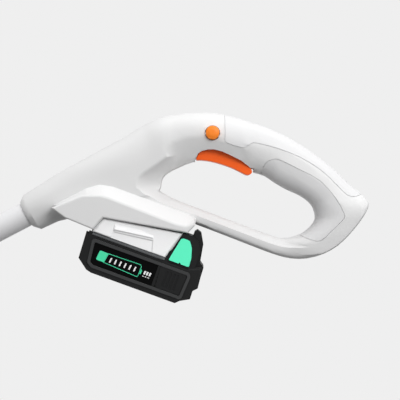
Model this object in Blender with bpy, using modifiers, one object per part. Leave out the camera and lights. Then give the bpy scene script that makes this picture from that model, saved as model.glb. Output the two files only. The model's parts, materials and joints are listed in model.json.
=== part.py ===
"""Long-reach cordless hedge trimmer: D handle with slide-on battery, pole and
tilting head with two toothed blades. Metres, +Z up, head towards -X.

Sizes below are in millimetres and are turned into metres where a mesh is made.
The origin is the centre of the battery's flat base.
"""
import math

import bmesh
import bpy
from mathutils import Matrix, Vector

MM = 0.001
GAP = 0.3             # clearance between two pieces that touch
SLIDE_GAP = 0.5       # clearance round a piece that slides or turns
BITE = 0.2            # how far two shapes reach into each other before they are joined
BEYOND = 60.0         # reach of a cutter past what it cuts
SHARP_ANGLE = 35.0    # edges steeper than this are shaded sharp

# Handle housing
WALL = 3.2
PART_GAP = 0.3        # parting gap between the two halves
COVER_SKIN = 1.6      # thickness of the two skin pieces let into the housing
FRONT_HALF_WIDTH = 22.5
TRIGGER_ZONE_HALF_WIDTH = 21.5
GRIP_HALF_WIDTH = 18.0
HEEL_HALF_WIDTH = 20.0
BAR_HALF_WIDTH = 14.0
BOSS_R = 4.4
SCREW_SHANK_R = 1.5
SCREW_HEAD_R = 2.9
SCREW_HEAD_H = 2.4
SCREW_SLOT_DEPTH = 0.9
SCREW_SLOT_HALF = 0.4
HOUSING_SCREW_SEAT = 9.0      # y of the face under the housing screws' heads
HOUSING_SCREW_TIP = -8.5
HOUSING_SCREWS = [(-34, 100), (24, 124), (116, 121), (181, 79), (158, 33.5)]

# Pole
POLE_R = 11.0
POLE_WALL = 1.5
POLE_SLOPE = 27.5     # degrees below the horizontal
POLE_GRIPPED = 45.0   # length held inside the collar
POLE_OUT = 560.0      # length outside the collar
COLLAR_R = 17.4
COLLAR_CHAMFER = 5.2
COLLAR_LIP = 1.6      # wall of the collar's mouth outside the pole
MOUTH = (-93.7, 63.4)         # centre of the collar mouth, x and z
SLEEVE_R = 17.0
SLEEVE_START = 170.0
SLEEVE_END = 330.0
CABLE_R = 2.4
CABLE_DROP = POLE_R - POLE_WALL - CABLE_R - GAP
CABLE_TAIL = 20.0     # cable past the pole's end inside the handle

# Battery and its dock: u runs along the battery, v up from its base
PACK_TILT = 20.0      # degrees, rear end down
PACK_HALF_WIDTH = 31.0
PACK_WALL = 2.2
PACK_SHOULDER = 2.4
PACK_RIM = 33.4       # v of the lower shell's rim
TOWER_HALF_WIDTH = 24.0
UPPER_HALF_WIDTH = 29.5
UPPER_WALL = 1.2
UPPER_SHOULDER = 1.6
CELL_R = 9.2
CELL_LENGTH = 65.0
CELL_PITCH = 18.8
CELL_ROWS = 3
CELL_FLOOR = 2.6      # height of the lowest cell's underside
CELL_START = -37.5
CELL_END = CELL_START + CELL_LENGTH
CELL_STAGGER = 3.3    # how far forward the upper layer of cells sits
BOARD_THICKNESS = 1.6
BOARD_HALF_WIDTH = 24.0
CELLS_TOP = CELL_FLOOR + 4 * CELL_R + 2 * GAP    # where the board lies
CELLS_REACH = CELL_END - CELL_STAGGER            # rear end of the upper layer
LIP_INNER = 29.8      # lip of the lower shell, outside the upper shell's wall
LIP_OUTER = 30.8
LIP_TOP = 34.8
RAIL_HALF_WIDTH = 18.0
STEM_HALF_WIDTH = 13.0
RAIL_FLOOR = 62.6
RAIL_TOP = 65.4
RAIL_START = -30.0
RAIL_END = CELL_END
CHANNEL_START = -44.0
DOCK_HALF_WIDTH = 33.0
DOCK_LEDGE_HALF_WIDTH = 22.5
LABEL_AREA = (-42.0, CELL_END - 10.0, 7.0, 26.5)
LABEL_SKIN = 0.8
PAD_AREA = (CELL_END - 7.5, CELL_END + 15.5, 7.5, 27.0)
PAD_RIBS = 5
PAD_GROOVE = 0.9
RELEASE_THICKNESS = 3.4
RELEASE_PROUD = 1.6
RELEASE_EDGE = 0.8
RELEASE_SPRING_R = 2.4
RELEASE_SPRING_WIRE = 0.7
RELEASE_SPRING_AT = (CELL_END + 3.7, 45.0)
BRIDGE_HALF_WIDTH = 17.0      # web between the two release springs
CONTACT_Y = (-9.0, 0.0, 9.0)
CONTACT_HALF = 0.5
CONTACT_LOW = 54.0
CONTACT_HIGH = 60.0
CONTACT_REACH = 9.0           # how far a contact enters the battery's rail
TERMINAL_LOW = 52.5

# Trigger, its switch and the lock-off bolt
TRIGGER_HALF_WIDTH = 11.0
TRIGGER_PIVOT = (63.0, 122.5)
TRIGGER_PIN_R = 1.5
TRIGGER_PIN_HALF = 14.0
TRIGGER_PIN_BOSS = 2.4
TRIGGER_BEVEL = 1.0
SLOT_LINING = 2.2
SPRING_X = 96.0
SPRING_R = 2.6
SPRING_WIRE = 0.8
SPRING_LOW = 108.0
SPRING_TOP = 125.0
SWITCH_HALF = 3.2
SWITCH_HEIGHT = 10.0
SWITCH_START = 88.0
SWITCH_LENGTH = 20.0
SHELF_LOW = 1.0       # shelf under the switch's edges, above the spring's top
SHELF_HIGH = 6.0
RIB_HEIGHT = 2.0
LOCK_AT = (73.1, 135.3)
LOCK_R = 6.2
LOCK_PROUD = 2.4
LOCK_WAIST_R = 3.8
LOCK_WAIST_HALF = 8.0
LOCK_BOSS = 1.6
LOCK_BOSS_START = 11.0
LOCK_SPRING_R = 4.9

# Knuckle and tilt lock, measured along the pole from the collar mouth
KNUCKLE_GRIP = 44.0           # length of the pole held in the knuckle
KNUCKLE_R = 16.5
PIVOT_REACH = 52.0            # from the pole's end to the tilt axis
PIVOT_A = POLE_OUT + PIVOT_REACH
PIVOT_R = 4.0
PIVOT_HALF = 24.5
PIVOT_CAP_R = 7.0
PIVOT_CAP_H = 2.5
LATCH_A = PIVOT_A - 26.0
LATCH_R = 4.5
LATCH_HALF = 20.0
TONGUE_HALF_WIDTH = 9.0
EAR_HALF_GAP = 9.5
EAR_HALF_WIDTH = 16.5
FORK_DEPTH = 13.5

# Drive: motor, pinion and gear with two eccentrics
MOTOR_REACH = 43.0            # from the tilt axis to the motor's axis
MOTOR_A = PIVOT_A + MOTOR_REACH
MOTOR_R = 14.0
MOTOR_LENGTH = 38.0
SHAFT_R = 1.6
GEAR_MODULE = 1.0
PINION_TEETH = 10
GEAR_TEETH = 48
GEAR_WIDTH = 6.0
GEAR_BACKLASH = 0.35
GEAR_CENTRES = GEAR_MODULE * (PINION_TEETH + GEAR_TEETH) / 2 + 0.1
GEAR_A = MOTOR_A + GEAR_CENTRES
ADDENDUM = 0.9 * GEAR_MODULE
DEDENDUM = 1.15 * GEAR_MODULE
AXLE_R = 3.0
AXLE_TOP = 25.0
HUB_R = 7.0
ECCENTRICITY = 6.0
ECCENTRIC_R = 10.5

# Blades, in the head's frame: heights are measured square to the pole's axis
BLADE_THICKNESS = 2.0
BLADE_PITCH = 24.0
BLADE_TEETH = 11
BLADE_ROOT = 10.0     # half width of a blade between its teeth
TOOTH_REACH = 17.0
TOOTH_ROOT = 11.0
TOOTH_TIP = 5.0
BLADE_LEVEL = -20.0   # height of the cutting plane
BLADE_LOW = {"upper_blade": BLADE_LEVEL + GAP / 2, "lower_blade": BLADE_LEVEL - GAP / 2 - BLADE_THICKNESS}
YOKE_RIM = 4.5        # metal left round the window that each eccentric works in
YOKE_HALF_LENGTH = 2 * ECCENTRICITY + ECCENTRIC_R + SLIDE_GAP
YOKE_HALF_WIDTH = ECCENTRICITY + ECCENTRIC_R + SLIDE_GAP
NECK_TAPER = 12.0
BAR_THICKNESS = 3.0
BAR_INSET = 1.0       # how much narrower the bar is than the blades
BAR_TAIL = 50.0       # length of the bar inside the head
BAR_TIP = 20.0        # length of the bar past the blades
BLADE_BOLT_R = 2.4
BLADE_BOLTS = 4
BOLT_CAP_R = 5.0
BOLT_NUT_R = 4.4
BOLT_CAP_H = 2.3
BOLT_NUT_H = 2.7
BOLT_SLOT = ECCENTRICITY + 1.0
GUARD_HALF_WIDTH = 24.0
GUARD_START = 10.0
GUARD_LENGTH = 14.0

# Head housing
NOSE_REACH = 77.9             # from the gear's axis to the nose
HEAD_END = GEAR_A + NOSE_REACH
HEAD_HALF_WIDTH = 34.0
HEAD_WALL = 2.6
HEAD_FLOOR = -14.2
HEAD_TOP = 40.5
NOSE_SOLID = 28.0             # length of the solid nose round the blade bar
HEAD_SCREW_SEAT = 12.0
HEAD_SCREW_TIP = -10.5
HEAD_SCREWS = [(26.0, GEAR_A + 5.9), (-3.0, HEAD_END - 14.0)]
GEAR_LOW = BLADE_LEVEL + 8.0
GEAR_TOP = GEAR_LOW + GEAR_WIDTH
MOTOR_LOW = GEAR_TOP + 3.0
PINION_TIP = GEAR_MODULE * PINION_TEETH / 2 + ADDENDUM
GEAR_TIP = GEAR_MODULE * GEAR_TEETH / 2 + ADDENDUM
BLADE_START = GEAR_A - YOKE_HALF_LENGTH - YOKE_RIM
CUT_START = HEAD_END + 22.0
BLADE_END = CUT_START + BLADE_TEETH * BLADE_PITCH
TRAY_WALL = 2.4
TRAY_START = BLADE_START - ECCENTRICITY - TRAY_WALL - 3.2
TRAY_END = HEAD_END - 10.0
TRAY_FLOOR = -27.0
TRAY_HALF_WIDTH = 30.0
TRAY_SCREW_Y = 18.0
TRAY_SCREW_A = TRAY_END - 6.0
TRAY_SCREW_SEAT = TRAY_FLOOR + 5.0
TRAY_SCREW_TOP = -6.5


# Frames

def tilted(x, z, degrees):
    """Frame at (x, z) turned about Y, so that local +Z leans by the angle."""
    place = Matrix.Translation(Vector((x, 0.0, z)) * MM)
    return place @ Matrix.Rotation(math.radians(degrees), 4, "Y")


def moved(frame, x=0.0, y=0.0, z=0.0):
    """The frame shifted along its own axes, in millimetres."""
    return frame @ Matrix.Translation(Vector((x, y, z)) * MM)


WORLD = Matrix.Identity(4)
PACK = tilted(0.0, 0.0, PACK_TILT)
# In the pole's frame +Z runs outwards along the pole and +X is up, square to it
POLE = tilted(MOUTH[0], MOUTH[1], -90.0 - POLE_SLOPE)
# Turns a shape made along Z so that it lies along Y
CROSS = Matrix.Rotation(math.radians(90.0), 4, "X")
HEAD_FRAME = moved(POLE, z=PIVOT_A)
MOTOR_FRAME = moved(POLE, x=MOTOR_LOW, z=MOTOR_A) @ Matrix.Rotation(math.radians(90.0), 4, "Y")


def pole_side(a, up):
    """World (x, z) of a point at distance a along the pole and height up off its axis."""
    slope = math.radians(POLE_SLOPE)
    x = MOUTH[0] - a * math.cos(slope) - up * math.sin(slope)
    z = MOUTH[1] - a * math.sin(slope) + up * math.cos(slope)
    return (x, z)


# Scene, collections and materials

def clear_scene():
    for item in list(bpy.data.objects):
        bpy.data.objects.remove(item, do_unlink=True)


def new_collection(name):
    made = bpy.data.collections.new(name)
    bpy.context.scene.collection.children.link(made)
    return made


def move_to(item, home):
    for old in list(item.users_collection):
        old.objects.unlink(item)
    home.objects.link(item)


FINISHES = {
    # name: colour, roughness, metallic
    "white": ((0.80, 0.80, 0.79, 1.0), 0.38, 0.0),
    "pale": ((0.70, 0.70, 0.69, 1.0), 0.45, 0.0),
    "orange": ((1.0, 0.23, 0.03, 1.0), 0.40, 0.0),
    "black": ((0.020, 0.020, 0.021, 1.0), 0.55, 0.0),
    "gloss": ((0.004, 0.004, 0.004, 1.0), 0.12, 0.0),
    "mint": ((0.10, 0.90, 0.58, 1.0), 0.35, 0.0),
    "foam": ((0.035, 0.035, 0.037, 1.0), 0.90, 0.0),
    "steel": ((0.55, 0.55, 0.56, 1.0), 0.30, 1.0),
    "brass": ((0.78, 0.60, 0.25, 1.0), 0.30, 1.0),
    "silver": ((0.74, 0.74, 0.75, 1.0), 0.32, 0.6),
    "board": ((0.03, 0.20, 0.08, 1.0), 0.50, 0.0),
    "cell": ((0.05, 0.16, 0.35, 1.0), 0.40, 0.0),
}


def finish(item, look):
    colour, roughness, metallic = FINISHES[look]
    material = bpy.data.materials.new(item.name + "_finish")
    material.use_nodes = True
    shader = material.node_tree.nodes["Principled BSDF"]
    shader.inputs["Base Color"].default_value = colour
    shader.inputs["Roughness"].default_value = roughness
    shader.inputs["Metallic"].default_value = metallic
    item.data.materials.clear()
    item.data.materials.append(material)


def object_from_bmesh(name, shape, frame=WORLD):
    """A new object holding the bmesh, whose sizes are in millimetres."""
    bmesh.ops.scale(shape, vec=(MM, MM, MM), verts=shape.verts)
    bmesh.ops.recalc_face_normals(shape, faces=shape.faces)
    mesh = bpy.data.meshes.new(name)
    shape.to_mesh(mesh)
    shape.free()
    item = bpy.data.objects.new(name, mesh)
    item.matrix_world = frame
    bpy.context.scene.collection.objects.link(item)
    return item


# Primitive solids

def block(name, low, high, frame=WORLD, bevel=0.0, segments=1):
    shape = bmesh.new()
    size = [b - a for a, b in zip(low, high)]
    middle = [(a + b) / 2 for a, b in zip(low, high)]
    bmesh.ops.create_cube(shape, size=1.0)
    bmesh.ops.scale(shape, vec=size, verts=shape.verts)
    bmesh.ops.translate(shape, vec=middle, verts=shape.verts)
    if bevel:
        bmesh.ops.bevel(shape, geom=shape.edges[:], offset=bevel, segments=segments,
                        profile=0.5, affect="EDGES")
    return object_from_bmesh(name, shape, frame)


def rod(name, radius, low, high, frame=WORLD, at=(0.0, 0.0), axis="Z", sides=24, tip=None):
    """A round bar from low to high along an axis of the frame; at is its centre."""
    shape = bmesh.new()
    far = radius if tip is None else tip
    bmesh.ops.create_cone(shape, cap_ends=True, segments=sides, radius1=radius,
                          radius2=far, depth=high - low)
    bmesh.ops.translate(shape, vec=(0.0, 0.0, (low + high) / 2), verts=shape.verts)
    turn = {
        "Z": Matrix.Identity(3),
        "Y": Matrix(((1, 0, 0), (0, 0, 1), (0, -1, 0))),
        "X": Matrix(((0, 0, 1), (0, 1, 0), (-1, 0, 0))),
    }[axis]
    shift = {
        "Z": (at[0], at[1], 0.0),
        "Y": (at[0], 0.0, at[1]),
        "X": (0.0, at[0], at[1]),
    }[axis]
    bmesh.ops.rotate(shape, cent=(0, 0, 0), matrix=turn, verts=shape.verts)
    bmesh.ops.translate(shape, vec=shift, verts=shape.verts)
    return object_from_bmesh(name, shape, frame)


def layered(name, layers, frame=WORLD, bevel=0.0):
    """A solid through outlines of equal length; each layer is (y, [(x, z), ...])."""
    shape = bmesh.new()
    rings = [[shape.verts.new((x, y, z)) for x, z in outline] for y, outline in layers]
    for near, far in zip(rings, rings[1:]):
        for i in range(len(near)):
            j = (i + 1) % len(near)
            shape.faces.new((near[i], near[j], far[j], far[i]))
    shape.faces.new(rings[0])
    shape.faces.new(rings[-1])
    if bevel:
        sharp = [e for e in shape.edges if e.calc_face_angle(0.0) > math.radians(40.0)]
        bmesh.ops.bevel(shape, geom=sharp, offset=bevel, segments=1, affect="EDGES")
    return object_from_bmesh(name, shape, frame)


def prism(name, outline, half_width, frame=WORLD, bevel=0.0, middle=0.0):
    """An (x, z) outline extruded to both sides of the plane y = middle."""
    layers = [(middle - half_width, outline), (middle + half_width, outline)]
    return layered(name, layers, frame, bevel)


def turned(name, profile, frame=WORLD, sides=24):
    """A profile of (radius, height) points spun about the frame's Z axis."""
    mesh = bpy.data.meshes.new(name)
    closed = profile[0] == profile[-1]
    points = [(r * MM, 0.0, h * MM) for r, h in (profile[:-1] if closed else profile)]
    edges = [(i, i + 1) for i in range(len(points) - 1)]
    if closed:
        edges.append((len(points) - 1, 0))
    mesh.from_pydata(points, edges, [])
    item = bpy.data.objects.new(name, mesh)
    bpy.context.scene.collection.objects.link(item)
    item.matrix_world = frame
    screw = item.modifiers.new("Spin", "SCREW")
    screw.steps = sides
    screw.render_steps = sides
    screw.use_merge_vertices = True
    screw.merge_threshold = 0.00001
    screw.use_smooth_shade = True
    bake(item)
    return item


def bake(item):
    """Applies the object's modifiers by taking the evaluated mesh."""
    graph = bpy.context.evaluated_depsgraph_get()
    made = bpy.data.meshes.new_from_object(item.evaluated_get(graph))
    item.modifiers.clear()
    old = item.data
    item.data = made
    made.name = item.name
    if old.users == 0:
        bpy.data.meshes.remove(old)


def combine(item, others, operation, selfs=False):
    """Boolean with each of the others, which are then used up."""
    for other in others:
        step = item.modifiers.new(operation, "BOOLEAN")
        step.operation = operation
        step.object = other
        step.solver = "EXACT"
        step.use_self = selfs
        bake(item)
        bpy.data.objects.remove(other, do_unlink=True)
    return item


def cut(item, *others):
    return combine(item, others, "DIFFERENCE")


def join(item, *others):
    return combine(item, others, "UNION")


def common(item, *others):
    return combine(item, others, "INTERSECT")


def copy_of(item, name):
    made = item.copy()
    made.data = item.data.copy()
    made.name = name
    bpy.context.scene.collection.objects.link(made)
    return made


def coil(name, radius, wire, turns, start, end, frame=WORLD, steps=8):
    """A compression spring about the frame's Z axis, as one unbroken tube."""
    curve = bpy.data.curves.new(name, "CURVE")
    curve.dimensions = "3D"
    curve.bevel_depth = wire / 2 * MM
    curve.bevel_resolution = 0
    curve.use_fill_caps = True
    spline = curve.splines.new("POLY")
    count = int(turns * steps) + 1
    spline.points.add(count - 1)
    for i in range(count):
        angle = 2 * math.pi * i / steps
        height = start + wire / 2 + (end - start - wire) * i / (count - 1)
        spot = (radius * math.cos(angle), radius * math.sin(angle), height)
        spline.points[i].co = [c * MM for c in spot] + [1.0]
    item = bpy.data.objects.new(name, curve)
    item.matrix_world = frame
    bpy.context.scene.collection.objects.link(item)
    return mesh_of(item)


def mesh_of(item):
    """Turns a curve object into a closed mesh object of the same name."""
    bpy.context.view_layer.update()
    graph = bpy.context.evaluated_depsgraph_get()
    mesh = bpy.data.meshes.new_from_object(item.evaluated_get(graph))
    shape = bmesh.new()
    shape.from_mesh(mesh)
    bmesh.ops.remove_doubles(shape, verts=shape.verts, dist=0.00001)
    bmesh.ops.recalc_face_normals(shape, faces=shape.faces)
    shape.to_mesh(mesh)
    shape.free()
    name = item.name
    place = item.matrix_world.copy()
    bpy.data.objects.remove(item, do_unlink=True)
    made = bpy.data.objects.new(name, mesh)
    made.matrix_world = place
    bpy.context.scene.collection.objects.link(made)
    return made


# Cross-sections of the handle: distance from outer to inner edge (0 to 1)
# against half width (0 to 1)

def oval(power, count=11):
    points = []
    for i in range(count):
        angle = math.pi * i / (count - 1)
        along = math.copysign(abs(math.cos(angle)) ** (2 / power), math.cos(angle))
        points.append(((1 - along) / 2, abs(math.sin(angle)) ** (2 / power)))
    return points


SECTIONS = {
    "round": oval(2.0),
    "grip": oval(2.3),
    "slab": [(0, 0), (0.02, 0.38), (0.08, 0.64), (0.18, 0.84), (0.32, 0.96), (0.48, 1.0),
             (0.62, 1.0), (0.76, 1.0), (0.90, 0.98), (0.98, 0.8), (1, 0)],
    "scoop": [(0, 0), (0.02, 0.36), (0.08, 0.62), (0.18, 0.83), (0.32, 0.96), (0.46, 1.0),
              (0.56, 0.98), (0.74, 0.82), (0.90, 0.68), (0.99, 0.50), (1, 0)],
    "tip": [(0, 0), (0.01, 0.53), (0.05, 0.76), (0.12, 0.90), (0.21, 0.98), (0.46, 1.0),
            (0.65, 0.97), (0.80, 0.84), (0.91, 0.64), (0.98, 0.36), (1, 0)],
    "heel": [(0, 0), (0.0, 0.70), (0.02, 0.89), (0.05, 0.98), (0.10, 1.0), (0.42, 1.0),
             (0.58, 0.97), (0.74, 0.86), (0.88, 0.66), (0.97, 0.38), (1, 0)],
    "bar": [(0, 0), (0.0, 0.55), (0.07, 0.84), (0.20, 0.97), (0.38, 1.0), (0.55, 1.0),
            (0.68, 0.82), (0.80, 0.76), (0.93, 0.62), (1.0, 0.40), (1, 0)],
}

# Stations of the handle from the collar over the grip, round the heel and back
# along the lower bar: outer edge, inner edge, half width, section
HANDLE = [
    (pole_side(-22, 17.9), pole_side(-22, -18.8), 17.9, "round"),
    (pole_side(-40, 19.6), pole_side(-40, -23.0), 19.5, "round"),
    ((-50, 108.7), (-28, 69), 21.0, "slab"),
    ((-30, 119.6), (-12, 76), 22.0, "slab"),
    ((-10, 130.5), (0, 75), FRONT_HALF_WIDTH, "slab"),
    ((3, 138.4), (12, 73), FRONT_HALF_WIDTH, "slab"),
    ((11, 143.0), (21, 76), FRONT_HALF_WIDTH, "slab"),
    ((16, 145.6), (26.5, 86), FRONT_HALF_WIDTH, "slab"),
    ((21.5, 148), (28.2, 94.5), FRONT_HALF_WIDTH, "slab"),
    ((29, 150.7), (33.2, 99.9), FRONT_HALF_WIDTH, "slab"),
    ((40, 152.9), (42, 104.5), TRIGGER_ZONE_HALF_WIDTH, "scoop"),
    ((54, 154.4), (56, 110), TRIGGER_ZONE_HALF_WIDTH, "scoop"),
    ((68, 154.7), (70, 108.7), TRIGGER_ZONE_HALF_WIDTH, "scoop"),
    ((84.5, 152.5), (84, 105.5), TRIGGER_ZONE_HALF_WIDTH, "scoop"),
    ((100, 148.3), (97, 102.8), 20.5, "scoop"),
    ((113, 144.2), (109, 100.6), 19.0, "grip"),
    ((128, 138.5), (119.6, 97.6), GRIP_HALF_WIDTH, "grip"),
    ((143, 131.3), (129, 91.3), GRIP_HALF_WIDTH, "grip"),
    ((157, 122.8), (139, 85.6), GRIP_HALF_WIDTH, "grip"),
    ((170, 113.4), (148.4, 81.4), GRIP_HALF_WIDTH, "grip"),
    ((184.4, 101.7), (156, 77), GRIP_HALF_WIDTH, "grip"),
    ((197, 89.5), (161.3, 72), 18.5, "grip"),
    ((206.9, 81.4), (164, 67), 19.5, "grip"),
    ((213.2, 73.3), (165.1, 61.5), HEEL_HALF_WIDTH, "tip"),
    ((208.5, 63), (164.6, 57.5), HEEL_HALF_WIDTH, "heel"),
    ((202, 53.6), (162, 53.5), 19.5, "heel"),
    ((194, 44.2), (157.5, 49), 19.0, "heel"),
    ((184.4, 35.1), (151.5, 45.3), 18.0, "heel"),
    ((172, 28), (145, 43), 17.0, "heel"),
    ((157.4, 23.8), (138, 41.7), 15.5, "bar"),
    ((143, 23.8), (131.5, 42.5), BAR_HALF_WIDTH, "bar"),
    ((129, 27.2), (121, 45.8), BAR_HALF_WIDTH, "bar"),
    ((112.4, 33.3), (108, 50.7), BAR_HALF_WIDTH, "bar"),
    ((91, 41.7), (96, 55.2), BAR_HALF_WIDTH, "bar"),
    ((71, 49.4), (76, 62.7), BAR_HALF_WIDTH, "bar"),
    ((56, 55), (60, 68.7), 15.0, "bar"),
    ((38, 61), (44, 74.7), 17.0, "bar"),
    ((22, 66), (32, 80.3), 19.5, "bar"),
    ((9, 72), (21, 87), 20.5, "bar"),
    ((-5, 77.5), (8, 92), 20.5, "bar"),
]


# Scoop round the front of the opening, as x, z pairs: its crease in the flank,
# the opening's edge and a point out in the opening; last, how far it eases off
SCOOP = [
    (58.5, 135.0, 57.0, 109.0, 57.0, 100.0, 2.4), (43.0, 123.5, 42.0, 104.0, 43.0, 96.0, 0.8),
    (30.0, 112.0, 33.2, 99.9, 37.0, 94.0, 0.0), (20.0, 105.2, 29.5, 96.5, 35.0, 92.5, 0.0),
    (13.0, 100.6, 28.0, 93.8, 34.5, 91.5, 0.0), (8.2, 96.4, 27.4, 91.3, 34.3, 90.5, 0.0),
    (6.3, 91.5, 27.3, 89.4, 34.3, 89.5, 0.0), (6.6, 87.0, 27.6, 87.8, 34.5, 88.5, 0.0),
    (9.2, 83.2, 28.2, 86.2, 34.8, 87.5, 0.0), (15.3, 79.8, 29.2, 84.0, 35.2, 86.5, -1.0),
    (24.0, 76.0, 31.5, 80.6, 36.0, 85.0, -2.5), (34.0, 72.8, 36.0, 77.6, 40.0, 84.0, -2.5),
]
SCOOP_PROFILE = [(0.0, 1.03), (0.12, 0.92), (0.3, 0.81), (0.5, 0.71), (0.75, 0.6), (1.0, 0.5)]
SCOOP_WALL = 4.2       # measured across the handle


def refined(rows):
    """Adds a row half way between each two, on a smooth curve through them."""
    made = []
    last = len(rows) - 1
    for k, row in enumerate(rows):
        made.append(row)
        if k < last:
            around = (rows[max(k - 1, 0)], row, rows[k + 1], rows[min(k + 2, last)])
            made.append(tuple((-a + 9 * b + 9 * c - d) / 16 for a, b, c, d in zip(*around)))
    return made


def smooth_stations(stations):
    """The stations with one more between each two, and sections that change evenly."""
    made = []
    for k, (x0, z0, x1, z1, width) in enumerate(refined([(*o, *i, w) for o, i, w, _ in stations])):
        before = SECTIONS[stations[k // 2][3]]
        after = SECTIONS[stations[(k + 1) // 2][3]]
        section = [((a[0] + b[0]) / 2, (a[1] + b[1]) / 2) for a, b in zip(before, after)]
        made.append(((x0, z0), (x1, z1), width, section))
    return made


def handle_solid(name, inset=0.0, first=0, last=None, fine=True, mouth=False):
    """The handle's outer form, or that form drawn in all round by the inset."""
    chosen = HANDLE[first:last]
    if fine:
        chosen = smooth_stations(chosen)
    else:
        chosen = [(o, i, w, SECTIONS[kind]) for o, i, w, kind in chosen]
    if mouth:
        front = POLE_R + COLLAR_LIP
        back = COLLAR_R - 0.6
        ring = SECTIONS["round"]
        chosen = [
            (pole_side(0, front), pole_side(0, -front), front, ring),
            (pole_side(-COLLAR_CHAMFER, back), pole_side(-COLLAR_CHAMFER, -COLLAR_R - 0.6), back, ring),
        ] + chosen
    shape = bmesh.new()
    rings = []
    for outer, inner, width, section in chosen:
        span = math.dist(outer, inner)
        step = inset / span
        low = [o + (i - o) * step for o, i in zip(outer, inner)]
        high = [i + (o - i) * step for o, i in zip(outer, inner)]
        near = [(low[0] + (high[0] - low[0]) * s, -(width - inset) * y,
                 low[1] + (high[1] - low[1]) * s) for s, y in section]
        far = [(x, -y, z) for x, y, z in reversed(near[1:-1])]
        rings.append([shape.verts.new(p) for p in near + far])
    for near, far in zip(rings, rings[1:]):
        for i in range(len(near)):
            j = (i + 1) % len(near)
            shape.faces.new((near[i], near[j], far[j], far[i]))
    shape.faces.new(rings[0])
    shape.faces.new(rings[-1])
    made = object_from_bmesh(name, shape)
    # The lower bar runs back into the front body: the union clears what crosses
    nub = rod(name + "_nub", 1.0, -1.0, 1.0, at=(100, 125), axis="Y", sides=6)
    return combine(made, [nub], "UNION", selfs=True)


def scoop_cutter(side, shift=0.0):
    """What the scoop takes off one flank of the handle, or the same moved inwards."""
    shape = bmesh.new()
    rings = []
    for x0, z0, x1, z1, x2, z2, ease in SCOOP if shift else refined(SCOOP):
        points = [(x0, -BEYOND, z0)]
        for along, width in SCOOP_PROFILE:
            points.append((x0 + (x1 - x0) * along, shift - ease - FRONT_HALF_WIDTH * width,
                           z0 + (z1 - z0) * along))
        points += [(x2, points[-1][1], z2), (x2, -BEYOND, z2)]
        rings.append([shape.verts.new((x, -side * y, z)) for x, y, z in points])
    for near, far in zip(rings, rings[1:]):
        for i in range(len(near)):
            j = (i + 1) % len(near)
            shape.faces.new((near[i], near[j], far[j], far[i]))
    shape.faces.new(rings[0])
    shape.faces.new(rings[-1])
    return object_from_bmesh("scoop", shape)


# Outlines in (x, z)
TRIGGER_SLOT = [(56.5, 98), (57.5, 111.5), (60.2, 117.2), (63.5, 119.6), (69.2, 120.9), (74.6, 120.9),
                (81.8, 119.1), (90.8, 115.0), (98, 111.4), (104.3, 106.9), (109.9, 101.5), (110.6, 90)]
TRIGGER_SHAPE = [(58.2, 111.6), (60.9, 117.2), (63.6, 128), (70, 128.0), (78, 125), (90, 119.5),
                 (99, 114.5), (105.5, 108.0), (108.6, 100.9), (105.2, 97.9), (102.5, 98.4),
                 (98, 101.2), (89, 105.3), (80, 108.4), (71, 110.7), (62, 111.6)]
TRIGGER_WELL = [(58.6, 110.2, 101.5), (110.0, 112.4, 104.2)]   # start, end and height of each room
COVER_SEAM = [(84.2, 128.3), (86.2, 126.3), (98.3, 122.5), (102.8, 123), (107.2, 126.1),
              (112.5, 126.5), (132.9, 121.2), (150.7, 114.1), (168.4, 103.5), (181.7, 91.1),
              (190.5, 82.2), (196.8, 79.1), (203.8, 80.4), (213, 85.5)]
TOP_COVER_AREA = [(84.2, 175)] + refined(COVER_SEAM) + [(230, 110), (180, 175)]
GRIP_SEAM = [(116.4, 96), (117.6, 102.8), (120.5, 108.8), (126.7, 111.9), (132.9, 111),
             (150.7, 102.6), (168.4, 92.8), (181.7, 77.8), (188.8, 64.5), (188.8, 59.2),
             (177.2, 47.6), (169.3, 40.1), (161.3, 40.5), (150.7, 45)]
GRIP_AREA = refined(GRIP_SEAM) + [(143, 52), (128, 88)]

# Outlines in the battery's frame, (u, v)
DOCK_BASE = [(-87.6, 41.5), (-73.2, 37.5), (-46.7, 36.4), (-42.0, 49.0), (CELL_END - 0.1, 61.0),
             (CELL_END + 4.5, 61.5), (CELL_END + 8.4, 69.8)]
DOCK_OUTER = DOCK_BASE + [(CELL_END + 6.9, 72.1), (CELL_END + 0.8, 66.7), (CELL_END - 7.0, 65.7),
                          (-44.4, 67.1), (-51.4, 66.3), (-66.0, 61.0), (-82.2, 46.3)]
DOCK_INNER = DOCK_BASE + [(CELL_END + 7.3, 75.5), (CELL_END + 4.3, 76.6), (CELL_END - 6.6, 77.2),
                          (-43.6, 77.4), (-55.5, 75.0), (-65.0, 68.5), (-87.5, 44.3)]
PACK_BODY = [(-40.7, 1.2), (-50.5, 8.6), (-51.9, PACK_RIM), (CELL_END + 15.5, PACK_RIM),
             (CELL_END + 27.5, 38.5), (CELL_END + 29.4, 19.0), (CELL_END + 26.0, 15.4),
             (CELL_END + 26.2, 7.8), (CELL_END + 18.2, 3.3), (CELL_END + 14.8, 0.0), (-36.0, 0.0)]
PACK_ROOM_END = CELL_END + 22.5
PACK_TOWER = [(CELL_END + 9.9, 30.0), (CELL_END + 9.9, 64.6), (CELL_END + 11.9, 67.0),
              (CELL_END + 15.9, 65.6), (CELL_END + 20.9, 56.8), (CELL_END + 23.7, 41.0),
              (CELL_END + 28.1, 37.6), (CELL_END + 28.5, 30.0)]
PACK_CHEEK = [(CELL_END - 6.1, 31.5), (CELL_END - 6.1, 33.0), (CELL_END + 1.2, 60.3),
              (CELL_END + 9.5, 60.6), (CELL_END + 16.0, 58.0), (CELL_END + 20.0, 50.0),
              (CELL_END + 21.0, 36.0), (CELL_END + 21.0, 31.5)]
PACK_UPPER = [(-47.6, 33.8), (-41.9, 48.7), (CELL_END + 0.9, 59.7), (CELL_END - 6.4, 33.8)]
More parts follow.
